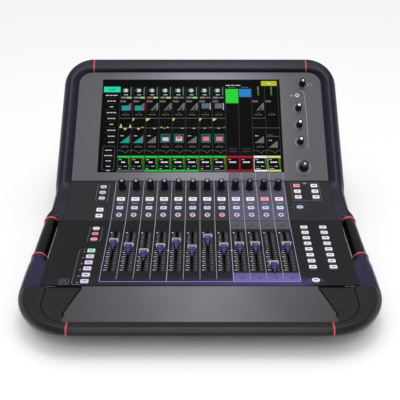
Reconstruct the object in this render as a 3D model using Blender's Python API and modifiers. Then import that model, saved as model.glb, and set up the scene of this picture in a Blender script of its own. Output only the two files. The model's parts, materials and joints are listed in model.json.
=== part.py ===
"""Compact digital mixing console: twelve faders and encoders below a tilted touch screen.

Metres, +Z up. X runs across the console, Y from the operator to the rear.
The origin is under the middle of the console, on the surface it stands on.
"""

import math

import bmesh
import bpy
from mathutils import Matrix, Vector

# Panels, from the operator to the rear. Lengths run up each panel's slope.
ARMREST_LENGTH = 0.0795
FADER_PANEL_LENGTH = 0.1714
STRIP_PANEL_LENGTH = 0.1064
SCREEN_PANEL_LENGTH = 0.2370
FADER_SLOPE = math.radians(4.5)
STRIP_SLOPE = math.radians(14.1)
SCREEN_SLOPE = math.radians(39.3)
FADER_PANEL_FRONT_HEIGHT = 0.056
PANEL_THICKNESS = 0.0020
ARMREST_THICKNESS = 0.0050

# Widths
CONSOLE_WIDTH = 0.557
UPPER_WIDTH = 0.546
WAIST_WIDTH = 0.540
FADER_PANEL_WIDTH = 0.491
STRIP_PANEL_WIDTH = 0.480
SCREEN_PANEL_WIDTH = 0.480
ARMREST_PAD_WIDTH = 0.4700
TRAY_WIDTH = 0.444

# Gaps and fits
GAP = 0.0003
KEY_CLEARANCE = 0.0004
SHAFT_CLEARANCE = 0.0008
SEAM_GAP = 0.0024

# Chassis
TRAY_WALL = 0.0015
TRAY_FRONT_INSET = 0.0125
TRAY_LEAN = 0.0090
FOOT_HEIGHT = 0.012
FOOT_LENGTH = 0.380
FOOT_WIDTH = 0.018
FRONT_FOOT_SETBACK = 0.0620
REAR_FOOT_SETBACK = 0.0400
REAR_OVERHANG = 0.0275
REAR_PANEL_RECESS = 0.0035
TOP_RAIL_DROP = 0.028

# Rails
RAIL_RISE = 0.0082
RAIL_DEPTH = 0.036
FRONT_RAIL_REACH = 0.0180
FRONT_RAIL_DEPTH = 0.022
CORNER_DEPTH = 0.029
TOP_SEAM_X = 0.2118
FRONT_SEAM_X = 0.1900
TOP_CORNER_RADIUS = 0.025
PAD_CORNER_RADIUS = 0.042
FRONT_CORNER_RADIUS = 0.100

# Side handles
HANDLE_RADIUS = 0.0120
HANDLE_COLLAR_RADIUS = 0.0136
HANDLE_COLLAR_WIDTH = 0.0030
HANDLE_DROP = 0.0150
HANDLE_FRONT_X = 0.2648
HANDLE_REAR_X = 0.2640
HANDLE_FRONT_T = 0.0825
HANDLE_REAR_T = 0.1885

# Channel strips
STRIP_COUNT = 12
STRIP_PITCH = 0.026
ENCODER_T = 0.0854
MUTE_KEY_T = 0.0546
MIX_KEY_T = 0.0317
LISTEN_KEY_T = 0.0135
MUTE_KEY_SIZE = (0.0146, 0.0094)
MIX_KEY_SIZE = (0.0120, 0.0080)
LISTEN_KEY_SIZE = (0.0102, 0.0102)

# Faders: travel, where each one stands at rest from the bottom of its travel
FADER_TRAVEL = 0.100
FADER_BOTTOM_T = 0.0363
FADER_REST_MM = (60, 48, 32, 46, 61, 42, 72, 48, 50, 51, 1, 51)
FADER_SLOT_WIDTH = 0.0030
FADER_STEM_WIDTH = 0.0020
FADER_STEM_LENGTH = 0.0080
FADER_CAP_WIDTH = 0.0150
FADER_CAP_LENGTH = 0.0220
FADER_CAP_HEIGHT = 0.0100
FADER_CAP_LIFT = 0.0016
FADER_CARRIAGE = (0.0090, 0.0110, 0.0050)
FADER_CARRIAGE_DEPTH = 0.0080
FADER_BANK_CLEARANCE = 0.0015
FADER_BANK_DEPTH = 0.0190

# Side key columns
KEY_PITCH = 0.0154
KEY_PROUD = 0.0020
KEY_WEB = 0.0010
KEY_WEB_DEPTH = 0.0025
KEY_WEB_MARGIN = 0.0016
LEFT_KEYS_X = -0.1780
RIGHT_KEYS_X = 0.1785
OUTER_KEYS_X = 0.2108
OVAL_KEY_SIZE = (0.0122, 0.0080)
SIDE_KEY_SIZE = (0.0124, 0.0088)
PAGE_KEY_SIZE = (0.0128, 0.0090)

# Touch screen
GLASS_WIDTH = 0.3510
GLASS_THICKNESS = 0.0016
GLASS_CENTRE_X = -0.0175
GLASS_BOTTOM_T = 0.0177
GLASS_TOP_MARGIN = 0.0167
GLASS_HEIGHT = SCREEN_PANEL_LENGTH - GLASS_BOTTOM_T - GLASS_TOP_MARGIN
LCD_INSET = 0.0070
LCD_THICKNESS = 0.0090

# Knobs: position on the screen panel, skirt radius, cap radius, height
SOFT_KNOB_X = 0.1925
SOFT_KNOB_T = (0.1547, 0.1180, 0.0814)
SOFT_KNOB = (0.0062, 0.0050, 0.0150)
MAIN_KNOB_X = 0.1955
MAIN_KNOB_T = 0.0278
MAIN_KNOB = (0.0085, 0.0072, 0.0170)
HEADPHONE_KNOB_X = 0.2032
HEADPHONE_KNOB_MARGIN = 0.0270
HEADPHONE_KNOB_T = SCREEN_PANEL_LENGTH - HEADPHONE_KNOB_MARGIN
HEADPHONE_KNOB = (0.0066, 0.0054, 0.0150)
ROUND_KEY_X = 0.1915
ROUND_KEY_MARGIN = 0.0539
ROUND_KEY_T = SCREEN_PANEL_LENGTH - ROUND_KEY_MARGIN
ROUND_KEY_SIZE = (0.0090, 0.0090)
ENCODER_KNOB = (0.0070, 0.0055, 0.0200)
SHAFT_RADIUS = 0.0030
SHAFT_DEPTH = 0.0090
KNOB_SIDES = 12
ENCODER_BODY = 0.0120
ENCODER_BOARD_DEPTH = 0.0100
ENCODER_BOARD_MARGIN = 0.022
ENCODER_BOARD_T = (0.0080, 0.0980)

# Rear
REAR_PANEL_THICKNESS = 0.0020
SOCKET_COUNT = 12
SOCKET_PITCH = 0.030
SOCKET_RADIUS = 0.0118
SOCKET_HEIGHT = 0.160
SOCKET_PROUD = 0.0015
BOARD_SETBACK = 0.024
BOARD_THICKNESS = 0.0016
BOARD_WIDTH = 0.370
NETWORK_X = (-0.165, -0.130)
NETWORK_HEIGHT = 0.075
NETWORK_OUTER = (0.0170, 0.0150)
NETWORK_OPENING = (0.0120, 0.0086)
INLET_X = 0.165
INLET_HEIGHT = 0.070
INLET_FLANGE = (0.0310, 0.0230)
INLET_BODY = (0.0272, 0.0196)
INLET_CAVITY = (0.0242, 0.0164)
INLET_DEPTH = 0.0170
INLET_PIN = (0.0020, 0.0090, 0.0040)
INLET_PIN_PITCH = 0.0070
SWITCH_X = 0.118
SWITCH_SIZE = (0.0190, 0.0220)
SWITCH_CLEARANCE = 0.0016
SWITCH_TILT = math.radians(5)
SUPPLY_SIZE = (0.150, 0.085, 0.035)

# The console's side outline, worked out from the panels


def along(slope):
    return Vector((0.0, math.cos(slope), math.sin(slope)))


def above(slope):
    return Vector((0.0, -math.sin(slope), math.cos(slope)))


ARMREST_RUN = ARMREST_LENGTH + FRONT_RAIL_REACH
TOTAL_DEPTH = (ARMREST_RUN + FADER_PANEL_LENGTH) * math.cos(FADER_SLOPE)
TOTAL_DEPTH += STRIP_PANEL_LENGTH * math.cos(STRIP_SLOPE)
TOTAL_DEPTH += SCREEN_PANEL_LENGTH * math.cos(SCREEN_SLOPE)
TOTAL_DEPTH += REAR_OVERHANG
FRONT_Y = -TOTAL_DEPTH / 2
REAR_Y = TOTAL_DEPTH / 2
FADER_FRONT = Vector((0.0, FRONT_Y + ARMREST_RUN * math.cos(FADER_SLOPE), FADER_PANEL_FRONT_HEIGHT))
FADER_REAR = FADER_FRONT + FADER_PANEL_LENGTH * along(FADER_SLOPE)
STRIP_REAR = FADER_REAR + STRIP_PANEL_LENGTH * along(STRIP_SLOPE)
SCREEN_REAR = STRIP_REAR + SCREEN_PANEL_LENGTH * along(SCREEN_SLOPE)
PLANES = {
    "fader": (FADER_FRONT, FADER_SLOPE),
    "strip": (FADER_REAR, STRIP_SLOPE),
    "screen": (STRIP_REAR, SCREEN_SLOPE),
}


def on_plane(plane, x, t, n):
    """World point at x across, t up the panel's slope and n out of its face."""
    start, slope = PLANES[plane]
    return Vector((x, 0.0, 0.0)) + start + t * along(slope) + n * above(slope)


for old in list(bpy.data.objects):
    bpy.data.objects.remove(old, do_unlink=True)

console = bpy.data.collections.new("mixing_console")
cutters = bpy.data.collections.new("cutters")
bpy.context.scene.collection.children.link(console)
bpy.context.scene.collection.children.link(cutters)


def make_material(name, colour, roughness, metallic=0.0):
    material = bpy.data.materials.new(name)
    material.use_nodes = True
    shader = material.node_tree.nodes["Principled BSDF"]
    shader.inputs["Base Color"].default_value = (*colour, 1.0)
    shader.inputs["Roughness"].default_value = roughness
    shader.inputs["Metallic"].default_value = metallic
    return material


PAINTED = make_material("textured_paint", (0.045, 0.043, 0.050), 0.55)
SCREEN_PAINT = make_material("screen_panel_paint", (0.10, 0.10, 0.11), 0.50)
RAIL = make_material("satin_rail", (0.030, 0.029, 0.040), 0.35)
PAD = make_material("armrest_pad", (0.085, 0.083, 0.095), 0.70)
GLOSS = make_material("gloss_black", (0.008, 0.008, 0.010), 0.12)
STEEL = make_material("black_steel", (0.020, 0.020, 0.022), 0.50, 0.6)
GLASS = make_material("screen_glass", (0.010, 0.010, 0.012), 0.08)
KNOB = make_material("knob_plastic", (0.030, 0.030, 0.034), 0.40)
CAP = make_material("fader_cap_plastic", (0.16, 0.13, 0.45), 0.35)
WHITE_KEY = make_material("white_key_plastic", (0.80, 0.76, 0.85), 0.40)
BLUE_KEY = make_material("blue_key_plastic", (0.45, 0.62, 0.85), 0.40)
RUBBER = make_material("foot_rubber", (0.015, 0.015, 0.015), 0.85)
METAL = make_material("plated_steel", (0.55, 0.56, 0.58), 0.30, 1.0)
BOARD = make_material("circuit_board", (0.010, 0.080, 0.030), 0.50)


def put(name, data, material, parent=None, collection=console):
    data.materials.clear()
    data.materials.append(material)
    thing = bpy.data.objects.new(name, data)
    collection.objects.link(thing)
    thing.parent = parent
    return thing


def make_plane(plane):
    """An empty on a panel's front edge: local X across, Y up the slope, Z out of the face."""
    start, slope = PLANES[plane]
    empty = bpy.data.objects.new(plane + "_plane", None)
    console.objects.link(empty)
    empty.location = start
    empty.rotation_euler = (slope, 0.0, 0.0)
    return empty


EMPTIES = {plane: make_plane(plane) for plane in PLANES}


def rounded(width, height, radius, steps=1, centre=(0.0, 0.0)):
    """Points of a rectangle with round corners, counter-clockwise."""
    points = []
    for quarter in range(4):
        turn = quarter * math.pi / 2
        side_x = 1 if quarter in (0, 3) else -1
        side_y = 1 if quarter in (0, 1) else -1
        middle_x = centre[0] + side_x * (width / 2 - radius)
        middle_y = centre[1] + side_y * (height / 2 - radius)
        for step in range(steps + 1):
            angle = turn + step * math.pi / 2 / steps
            points.append((middle_x + radius * math.cos(angle), middle_y + radius * math.sin(angle)))
    return points


def ring(radius, sides, centre=(0.0, 0.0)):
    """Points of a regular polygon that a circle of the given radius just fits inside."""
    reach = radius / math.cos(math.pi / sides)
    turns = [2 * math.pi * (side + 0.5) / sides for side in range(sides)]
    return [(centre[0] + reach * math.cos(a), centre[1] + reach * math.sin(a)) for a in turns]


def sheet(name, outlines, thickness, material, parent=None, place=(0.0, 0.0, 0.0)):
    """A flat piece: the first outline is its edge, the others are holes through it."""
    curve = bpy.data.curves.new(name, "CURVE")
    curve.dimensions = "2D"
    curve.fill_mode = "BOTH"
    curve.extrude = thickness / 2
    for outline in outlines:
        spline = curve.splines.new("POLY")
        spline.points.add(len(outline) - 1)
        for point, (x, y) in zip(spline.points, outline):
            point.co = (x, y, 0.0, 1.0)
        spline.use_cyclic_u = True
    piece = put(name, curve, material, parent)
    piece.location = place
    return piece


def smooth(data, angle=math.radians(35)):
    data.shade_smooth()
    data.set_sharp_from_angle(angle=angle)


def mesh_from(work, name):
    bmesh.ops.recalc_face_normals(work, faces=work.faces)
    data = bpy.data.meshes.new(name)
    work.to_mesh(data)
    work.free()
    return data


def box_into(work, low, high):
    """Add one box between two corners to a bmesh."""
    size = [b - a for a, b in zip(low, high)]
    middle = [(a + b) / 2 for a, b in zip(low, high)]
    matrix = Matrix.Translation(middle) @ Matrix.Diagonal((*size, 1.0))
    bmesh.ops.create_cube(work, size=1.0, matrix=matrix)


def boxes(name, corners):
    work = bmesh.new()
    for low, high in corners:
        box_into(work, low, high)
    return mesh_from(work, name)


def prism_into(work, outline, low, high):
    """Add an outline in X and Y, drawn up from low to high, to a bmesh."""
    face = work.faces.new([work.verts.new((x, y, low)) for x, y in outline])
    risen = bmesh.ops.extrude_face_region(work, geom=[face])["geom"]
    tops = [item for item in risen if isinstance(item, bmesh.types.BMVert)]
    bmesh.ops.translate(work, vec=(0.0, 0.0, high - low), verts=tops)


def side_prism(name, outline, low_x, high_x):
    """An outline in Y and Z, drawn across from low_x to high_x."""
    work = bmesh.new()
    prism_into(work, outline, low_x, high_x)
    turn = Matrix(((0, 0, 1, 0), (1, 0, 0, 0), (0, 1, 0, 0), (0, 0, 0, 1)))
    bmesh.ops.transform(work, matrix=turn, verts=work.verts)
    return mesh_from(work, name)


def join(piece, name, data, operation="UNION"):
    """Cut or join a piece with a mesh that stands in the same local frame."""
    tool = put(name, data, STEEL, piece.parent, cutters)
    tool.location = piece.location
    tool.rotation_euler = piece.rotation_euler
    tool.hide_render = True
    tool.display_type = "WIRE"
    step = piece.modifiers.new(name, "BOOLEAN")
    step.operation = operation
    step.solver = "EXACT"
    step.object = tool


def turned(name, profile, sides, material, parent=None, place=(0.0, 0.0, 0.0)):
    """A profile of (radius, height) points, top to bottom, turned about local Z."""
    data = bpy.data.meshes.new(name)
    points = [(radius, 0.0, height) for radius, height in profile]
    edges = [(i, i + 1) for i in range(len(points) - 1)]
    data.from_pydata(points, edges, [])
    piece = put(name, data, material, parent)
    screw = piece.modifiers.new("turn", "SCREW")
    screw.steps = sides
    screw.render_steps = sides
    screw.use_merge_vertices = True
    screw.merge_threshold = 0.00001
    screw.use_normal_calculate = False
    piece.location = place
    return piece


def loft(name, rings, material):
    """A skin over closed rings of points, with a flat cap on each end."""
    work = bmesh.new()
    rows = [[work.verts.new(point) for point in points] for points in rings]
    count = len(rows[0])
    for row, following in zip(rows, rows[1:]):
        for i in range(count):
            j = (i + 1) % count
            work.faces.new((row[i], row[j], following[j], following[i]))
    work.faces.new(rows[0])
    work.faces.new(rows[-1])
    data = mesh_from(work, name)
    smooth(data)
    return put(name, data, material)


def section(inner, outward, normal, points):
    """Section points (distance outward, height) placed from a rail's inner edge."""
    placed = []
    for out, height in points:
        point = inner + out * outward + height * normal
        point.y = min(point.y, REAR_Y)
        placed.append(point)
    return placed


def blend(first, second, share):
    pairs = zip(first, second)
    return [(a[0] + (b[0] - a[0]) * share, a[1] + (b[1] - a[1]) * share) for a, b in pairs]


# Rail sections, as (outward from the inner edge, height over the panel), each with 13 points

UPPER_INNER_X = SCREEN_PANEL_WIDTH / 2 + GAP
FLANGE = UPPER_INNER_X - TRAY_WIDTH / 2 - GAP
UPPER_REACH = UPPER_WIDTH / 2 - UPPER_INNER_X
WAIST_REACH = WAIST_WIDTH / 2 - UPPER_INNER_X
FLANGE_TOP = -PANEL_THICKNESS - GAP


def side_section(rise, reach):
    """The side rail: rise is how far its crest stands over the panel."""
    share = rise / RAIL_RISE
    return [
        (0.0, 0.0),
        (0.0080, rise),
        (0.0115, rise * 1.04),
        (reach - 0.0190 + 0.0060 * (1 - share), rise * 1.01),
        (reach - 0.0105 + 0.0040 * (1 - share), rise - 0.0037),
        (reach - 0.0035 + 0.0010 * (1 - share), rise - 0.0120),
        (reach, -0.0180),
        (reach - 0.0020, -0.0270),
        (reach - 0.0090, -RAIL_DEPTH + 0.0015),
        (0.0140, -RAIL_DEPTH),
        (-FLANGE, -RAIL_DEPTH + 0.0020),
        (-FLANGE, FLANGE_TOP),
        (0.0, FLANGE_TOP),
    ]


def drop_point(back, down):
    """A point that is back and down in world terms, in the screen rail's section terms."""
    out = back * math.cos(SCREEN_SLOPE) - down * math.sin(SCREEN_SLOPE)
    height = -back * math.sin(SCREEN_SLOPE) - down * math.cos(SCREEN_SLOPE)
    return (out, height)


TOP_SECTION = [
    (0.0, 0.0),
    (0.0025, RAIL_RISE - 0.0012),
    (0.0045, RAIL_RISE),
    (0.0218, RAIL_RISE),
    (0.0272, RAIL_RISE - 0.0030),
    (0.0302, 0.0),
    drop_point(REAR_OVERHANG, -0.0130),
    drop_point(REAR_OVERHANG, 0.0060),
    drop_point(REAR_OVERHANG, TOP_RAIL_DROP),
    drop_point(REAR_OVERHANG - 0.0070, TOP_RAIL_DROP),
    drop_point(REAR_OVERHANG - 0.0125, TOP_RAIL_DROP - 0.0080),
    (-0.0010, -0.0150),
    (0.0, FLANGE_TOP),
]


def circle_section(radius):
    degrees = (135, 110, 85, 58, 32, 5, -22, -50, -80, -110, -140, -170, 160)
    turns = [math.radians(a) for a in degrees]
    return [(radius * math.cos(a), radius * math.sin(a)) for a in turns]


def handle_point(side, t):
    share = (t - HANDLE_FRONT_T) / (HANDLE_REAR_T - HANDLE_FRONT_T)
    x = HANDLE_FRONT_X + (HANDLE_REAR_X - HANDLE_FRONT_X) * share
    return on_plane("fader", side * x, t, -HANDLE_DROP)


def make_upper_rail(name, side):
    """From the handle's rear collar, up beside both panels and round the top corner."""
    outward = Vector((side, 0.0, 0.0))
    strip_up, screen_up = above(STRIP_SLOPE), above(SCREEN_SLOPE)
    flush = side_section(0.0, WAIST_REACH)
    raised = side_section(RAIL_RISE, UPPER_REACH)
    collar = circle_section(HANDLE_COLLAR_RADIUS - 0.0006)
    end_t = HANDLE_REAR_T + GAP
    rings = [section(handle_point(side, end_t), outward, above(FADER_SLOPE), collar)]
    rings.append(section(handle_point(side, end_t + 0.0060), outward, above(FADER_SLOPE), collar))
    flush_start = 0.0400
    kink = RAIL_RISE / math.sin(SCREEN_SLOPE - STRIP_SLOPE)
    for t in (flush_start, STRIP_PANEL_LENGTH - kink):
        inner = on_plane("strip", side * UPPER_INNER_X, t, 0.0)
        rings.append(section(inner, outward, strip_up, flush))
    middle_t = SCREEN_PANEL_LENGTH + GAP - TOP_CORNER_RADIUS
    for t in (0.0, middle_t):
        inner = on_plane("screen", side * UPPER_INNER_X, t, 0.0)
        rings.append(section(inner, outward, screen_up, raised))
    middle_x = UPPER_INNER_X - TOP_CORNER_RADIUS
    steps = 6
    for step in range(1, steps + 1):
        turn = step * math.pi / 2 / steps
        radial = Vector((side * math.cos(turn), 0.0, 0.0)) + math.sin(turn) * along(SCREEN_SLOPE)
        middle = on_plane("screen", side * middle_x, middle_t, 0.0)
        inner = middle + TOP_CORNER_RADIUS * radial
        rings.append(section(inner, radial, screen_up, blend(raised, TOP_SECTION, step / steps)))
    end = on_plane("screen", side * (TOP_SEAM_X + SEAM_GAP / 2), SCREEN_PANEL_LENGTH + GAP, 0.0)
    rings.append(section(end, along(SCREEN_SLOPE), screen_up, TOP_SECTION))
    return loft(name, rings, RAIL)


def make_top_rail():
    rings = []
    for x in (-TOP_SEAM_X + SEAM_GAP / 2, TOP_SEAM_X - SEAM_GAP / 2):
        inner = on_plane("screen", x, SCREEN_PANEL_LENGTH + GAP, 0.0)
        rings.append(section(inner, along(SCREEN_SLOPE), above(SCREEN_SLOPE), TOP_SECTION))
    return loft("top_rail", rings, RAIL)


def corner_section(width):
    """The front corner: width is from the armrest's edge to the outside."""
    shares = (
        (0.0, 0.0),
        (0.3, 0.0),
        (0.6, 0.0),
        (0.73, -0.0016),
        (0.87, -0.0050),
        (0.96, -0.0095),
        (1.0, -0.0150),
        (0.95, -0.0215),
        (0.80, -0.0265),
        (0.50, -CORNER_DEPTH),
        (0.20, -CORNER_DEPTH),
        (0.0, -0.0200),
        (0.0, -0.0100),
    )
    return [(share * width, height) for share, height in shares]


def front_section(reach):
    """The front rail: reach is from the armrest's edge to the outside."""
    return [
        (0.0, 0.0),
        (0.0050, 0.0),
        (reach - 0.0070, 0.0),
        (reach - 0.0044, -0.0016),
        (reach - 0.0018, -0.0040),
        (reach, -0.0070),
        (reach - 0.0006, -0.0095),
        (reach - 0.0048, -0.0130),
        (reach - 0.0110, -0.0180),
        (0.0040, -FRONT_RAIL_DEPTH),
        (0.0, -FRONT_RAIL_DEPTH),
        (0.0, -0.0160),
        (0.0, -0.0100),
    ]


def front_reach(x):
    """How far the front stands out at x, where the outside corner's arc starts inside the seam."""
    past = max(abs(x) - (CONSOLE_WIDTH / 2 - FRONT_CORNER_RADIUS), 0.0)
    return FRONT_RAIL_REACH - FRONT_CORNER_RADIUS + math.sqrt(FRONT_CORNER_RADIUS ** 2 - past ** 2)


def grip_section(reach):
    """Between the handle and the corner: reach is from the panel's edge to the outside."""
    shares = (
        (0.0, -0.0060),
        (0.21, -0.0040),
        (0.42, -0.0025),
        (0.60, -0.0015),
        (0.78, -0.0035),
        (0.93, -0.0090),
        (1.0, -0.0150),
        (0.94, -0.0215),
        (0.78, -0.0265),
        (0.48, -CORNER_DEPTH),
        (0.18, -CORNER_DEPTH),
        (0.0, -0.0240),
        (0.0, -0.0130),
    )
    return [(share * reach, height) for share, height in shares]


def make_front_corner(name, side):
    """From the handle's front collar, round the armrest's corner to the front seam."""
    outward = Vector((side, 0.0, 0.0))
    up = above(FADER_SLOPE)
    collar = circle_section(HANDLE_COLLAR_RADIUS - 0.0006)
    end_t = HANDLE_FRONT_T - GAP
    rings = [section(handle_point(side, end_t), outward, up, collar)]
    rings.append(section(handle_point(side, end_t - 0.0060), outward, up, collar))
    grip_x = FADER_PANEL_WIDTH / 2 + GAP
    grip_points = grip_section(CONSOLE_WIDTH / 2 - grip_x)
    for t in (end_t - 0.0240, 0.0020):
        inner = on_plane("fader", side * grip_x, t, 0.0)
        rings.append(section(inner, outward, up, grip_points))
    pad_x = ARMREST_PAD_WIDTH / 2 + GAP
    side_width = CONSOLE_WIDTH / 2 - pad_x
    side_points = corner_section(side_width)
    inner = on_plane("fader", side * pad_x, -0.0020, 0.0)
    rings.append(section(inner, outward, up, side_points))
    pad_middle = (pad_x - PAD_CORNER_RADIUS, GAP + PAD_CORNER_RADIUS - ARMREST_LENGTH - 2 * GAP)
    out_middle = (CONSOLE_WIDTH / 2 - FRONT_CORNER_RADIUS, FRONT_CORNER_RADIUS - ARMREST_RUN - GAP)
    # The outside arc stops level with the end of the armrest's arc, and the front carries it on
    level = (pad_middle[0] - out_middle[0]) / FRONT_CORNER_RADIUS
    out_end = math.acos(max(level, 0.0))
    arcs = ((pad_middle, PAD_CORNER_RADIUS, math.pi / 2), (out_middle, FRONT_CORNER_RADIUS, out_end))
    steps = 10
    for step in range(steps + 1):
        ends = []
        for middle, radius, last in arcs:
            turn = last * step / steps
            radial = outward * math.cos(turn) - along(FADER_SLOPE) * math.sin(turn)
            ends.append(on_plane("fader", side * middle[0], middle[1], 0.0) + radius * radial)
        span = ends[1] - ends[0]
        points = blend(corner_section(span.length), front_section(span.length), (step / steps) ** 2)
        rings.append(section(ends[0], span.normalized(), up, points))
    seam_x = FRONT_SEAM_X + SEAM_GAP / 2
    end = on_plane("fader", side * seam_x, -ARMREST_LENGTH - GAP, 0.0)
    rings.append(section(end, -along(FADER_SLOPE), up, front_section(front_reach(seam_x))))
    return loft(name, rings, RAIL)


def make_front_rail():
    rings = []
    end_x = FRONT_SEAM_X - SEAM_GAP / 2
    arc_x = min(CONSOLE_WIDTH / 2 - FRONT_CORNER_RADIUS, end_x - SEAM_GAP)
    for x in (-end_x, -arc_x, arc_x, end_x):
        inner = on_plane("fader", x, -ARMREST_LENGTH - GAP, 0.0)
        points = front_section(front_reach(x))
        rings.append(section(inner, -along(FADER_SLOPE), above(FADER_SLOPE), points))
    return loft("front_rail", rings, RAIL)


def make_handle(name, side):
    front, rear = handle_point(side, HANDLE_FRONT_T), handle_point(side, HANDLE_REAR_T)
    length = (rear - front).length
    profile = [
        (0.0, length),
        (HANDLE_COLLAR_RADIUS, length),
        (HANDLE_COLLAR_RADIUS, length - HANDLE_COLLAR_WIDTH),
        (HANDLE_RADIUS, length - HANDLE_COLLAR_WIDTH),
        (HANDLE_RADIUS, HANDLE_COLLAR_WIDTH),
        (HANDLE_COLLAR_RADIUS, HANDLE_COLLAR_WIDTH),
        (HANDLE_COLLAR_RADIUS, 0.0),
        (0.0, 0.0),
    ]
    handle = turned(name, profile, 16, GLOSS)
    handle.location = front
    handle.rotation_mode = "QUATERNION"
    handle.rotation_quaternion = (rear - front).to_track_quat("Z", "Y")
    return handle


def make_tray():
    """Folded steel tray: floor, front and sides, open under the panels and at the rear."""
    low = FOOT_HEIGHT
    rear = REAR_Y - REAR_PANEL_RECESS - REAR_PANEL_THICKNESS - GAP
    under = -PANEL_THICKNESS - GAP
    pad_under = -ARMREST_THICKNESS - GAP
    end_t = SCREEN_PANEL_LENGTH - 0.0110
    shoulder = on_plane("screen", 0.0, end_t, -RAIL_DEPTH - 0.0080)
    top = [
        on_plane("fader", 0.0, TRAY_FRONT_INSET - ARMREST_LENGTH, pad_under - TRAY_WALL / 2),
        on_plane("fader", 0.0, 2 * GAP, pad_under),
        on_plane("fader", 0.0, 2 * GAP + TRAY_WALL, under),
        on_plane("strip", 0.0, 0.0, under),
        on_plane("screen", 0.0, 0.0, under),
        on_plane("screen", 0.0, end_t, under),
        shoulder,
        Vector((0.0, rear, shoulder.z)),
    ]
    outline = [(rear, low), (top[0].y + TRAY_LEAN, low)]
    outline += [(point.y, point.z) for point in top]
    half = TRAY_WIDTH / 2
    work = bmesh.new()
    sides = []
    for x in (-half, half):
        sides.append([work.verts.new((x, y, z)) for y, z in outline])
        work.faces.new(sides[-1])
    for i in range(2):
        work.faces.new((sides[0][i], sides[0][i + 1], sides[1][i + 1], sides[1][i]))
    data = mesh_from(work, "base_tray")
    tray = put("base_tray", data, STEEL)
    wall = tray.modifiers.new("wall", "SOLIDIFY")
    wall.thickness = TRAY_WALL
    wall.offset = -1.0
    wall.use_even_offset = True
    return tray


def make_armrest():
    pad_half = ARMREST_PAD_WIDTH / 2
    radius = PAD_CORNER_RADIUS
    right = [(pad_half, -GAP)]
    steps = 6
    for step in range(steps + 1):
        turn = step * math.pi / 2 / steps
        x = pad_half - radius + radius * math.cos(turn)
        right.append((x, radius - ARMREST_LENGTH - radius * math.sin(turn)))
    outline = right + [(-x, t) for x, t in reversed(right)]
    place = (0.0, 0.0, -ARMREST_THICKNESS / 2)
    return sheet("armrest", [outline], ARMREST_THICKNESS, PAD, EMPTIES["fader"], place)


def strip_x(strip):
    return (strip - (STRIP_COUNT - 1) / 2) * STRIP_PITCH


def strip_row(size, shape, t):
    return [(shape, size, strip_x(strip), t) for strip in range(STRIP_COUNT)]


def column(size, shape, x, first_t, count):
    return [(shape, size, x, first_t - i * KEY_PITCH) for i in range(count)]


# Key groups: the panel they stand in, and (shape, size, x, t) of each key
KEY_GROUPS = {
    "mute_keys": ("strip", strip_row(MUTE_KEY_SIZE, "square", MUTE_KEY_T), WHITE_KEY),
    "mix_keys": ("strip", strip_row(MIX_KEY_SIZE, "square", MIX_KEY_T), BLUE_KEY),
    "listen_keys": ("strip", strip_row(LISTEN_KEY_SIZE, "round", LISTEN_KEY_T), WHITE_KEY),
    "view_keys": (
        "strip",
        column(OVAL_KEY_SIZE, "oval", LEFT_KEYS_X, 0.0880, 3)
        + column(SIDE_KEY_SIZE, "square", LEFT_KEYS_X, 0.0268, 2),
        WHITE_KEY,
    ),
    "assign_keys": (
        "strip",
        column(SIDE_KEY_SIZE, "square", RIGHT_KEYS_X, 0.0912, 3)
        + column(SIDE_KEY_SIZE, "square", OUTER_KEYS_X, 0.0912, 3)
        + column(OVAL_KEY_SIZE, "oval", RIGHT_KEYS_X, 0.0338, 1),
        WHITE_KEY,
    ),
    "page_keys": (
        "fader",
        column(OVAL_KEY_SIZE, "oval", LEFT_KEYS_X, 0.1470, 3)
        + column(PAGE_KEY_SIZE, "square", LEFT_KEYS_X, 0.0849, 6),
        WHITE_KEY,
    ),
    "soft_keys": (
        "fader",
        column(OVAL_KEY_SIZE, "square", RIGHT_KEYS_X + 0.0004, 0.1507, 8)
        + column(OVAL_KEY_SIZE, "square", OUTER_KEYS_X + 0.0006, 0.1507, 8)
        + column(PAGE_KEY_SIZE, "oval", RIGHT_KEYS_X + 0.0004, 0.0108, 1),
        WHITE_KEY,
    ),
    "round_key": ("screen", [("round", ROUND_KEY_SIZE, ROUND_KEY_X, ROUND_KEY_T)], WHITE_KEY),
}


def key_outline(shape, size, x, t, grow=0.0):
    """A key's outline, or with grow the hole that it stands in."""
    width, height = size[0] + 2 * grow, size[1] + 2 * grow
    if shape == "square":
        return rounded(width, height, 0.0012 + grow, 1, (x, t))
    if shape == "oval":
        return rounded(width, height, height / 2 - 0.0001, 2, (x, t))
    return ring(width / 2, 10, (x, t))


def key_holes(plane):
    holes = []
    for group_plane, keys, _ in KEY_GROUPS.values():
        if group_plane == plane:
            holes += [key_outline(*key, grow=KEY_CLEARANCE) for key in keys]
    return holes


def make_key_group(name):
    """Key caps that stand on one web under the panel."""
    plane, keys, material = KEY_GROUPS[name]
    web_top = -PANEL_THICKNESS - KEY_WEB_DEPTH + KEY_WEB
    work = bmesh.new()
    for key in keys:
        prism_into(work, key_outline(*key), web_top - KEY_WEB / 2, KEY_PROUD)
    caps = mesh_from(work, name + "_caps")
    low_x = min(x - size[0] / 2 for _, size, x, _ in keys) - KEY_WEB_MARGIN
    high_x = max(x + size[0] / 2 for _, size, x, _ in keys) + KEY_WEB_MARGIN
    low_t = min(t - size[1] / 2 for _, size, _, t in keys) - KEY_WEB_MARGIN
    high_t = max(t + size[1] / 2 for _, size, _, t in keys) + KEY_WEB_MARGIN
    web = boxes(name, [((low_x, low_t, web_top - KEY_WEB), (high_x, high_t, web_top))])
    group = put(name, web, material, EMPTIES[plane])
    join(group, name + "_caps", caps)
    return group


def shaft_hole(x, t):
    return ring(SHAFT_RADIUS + SHAFT_CLEARANCE, 8, (x, t))


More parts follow.
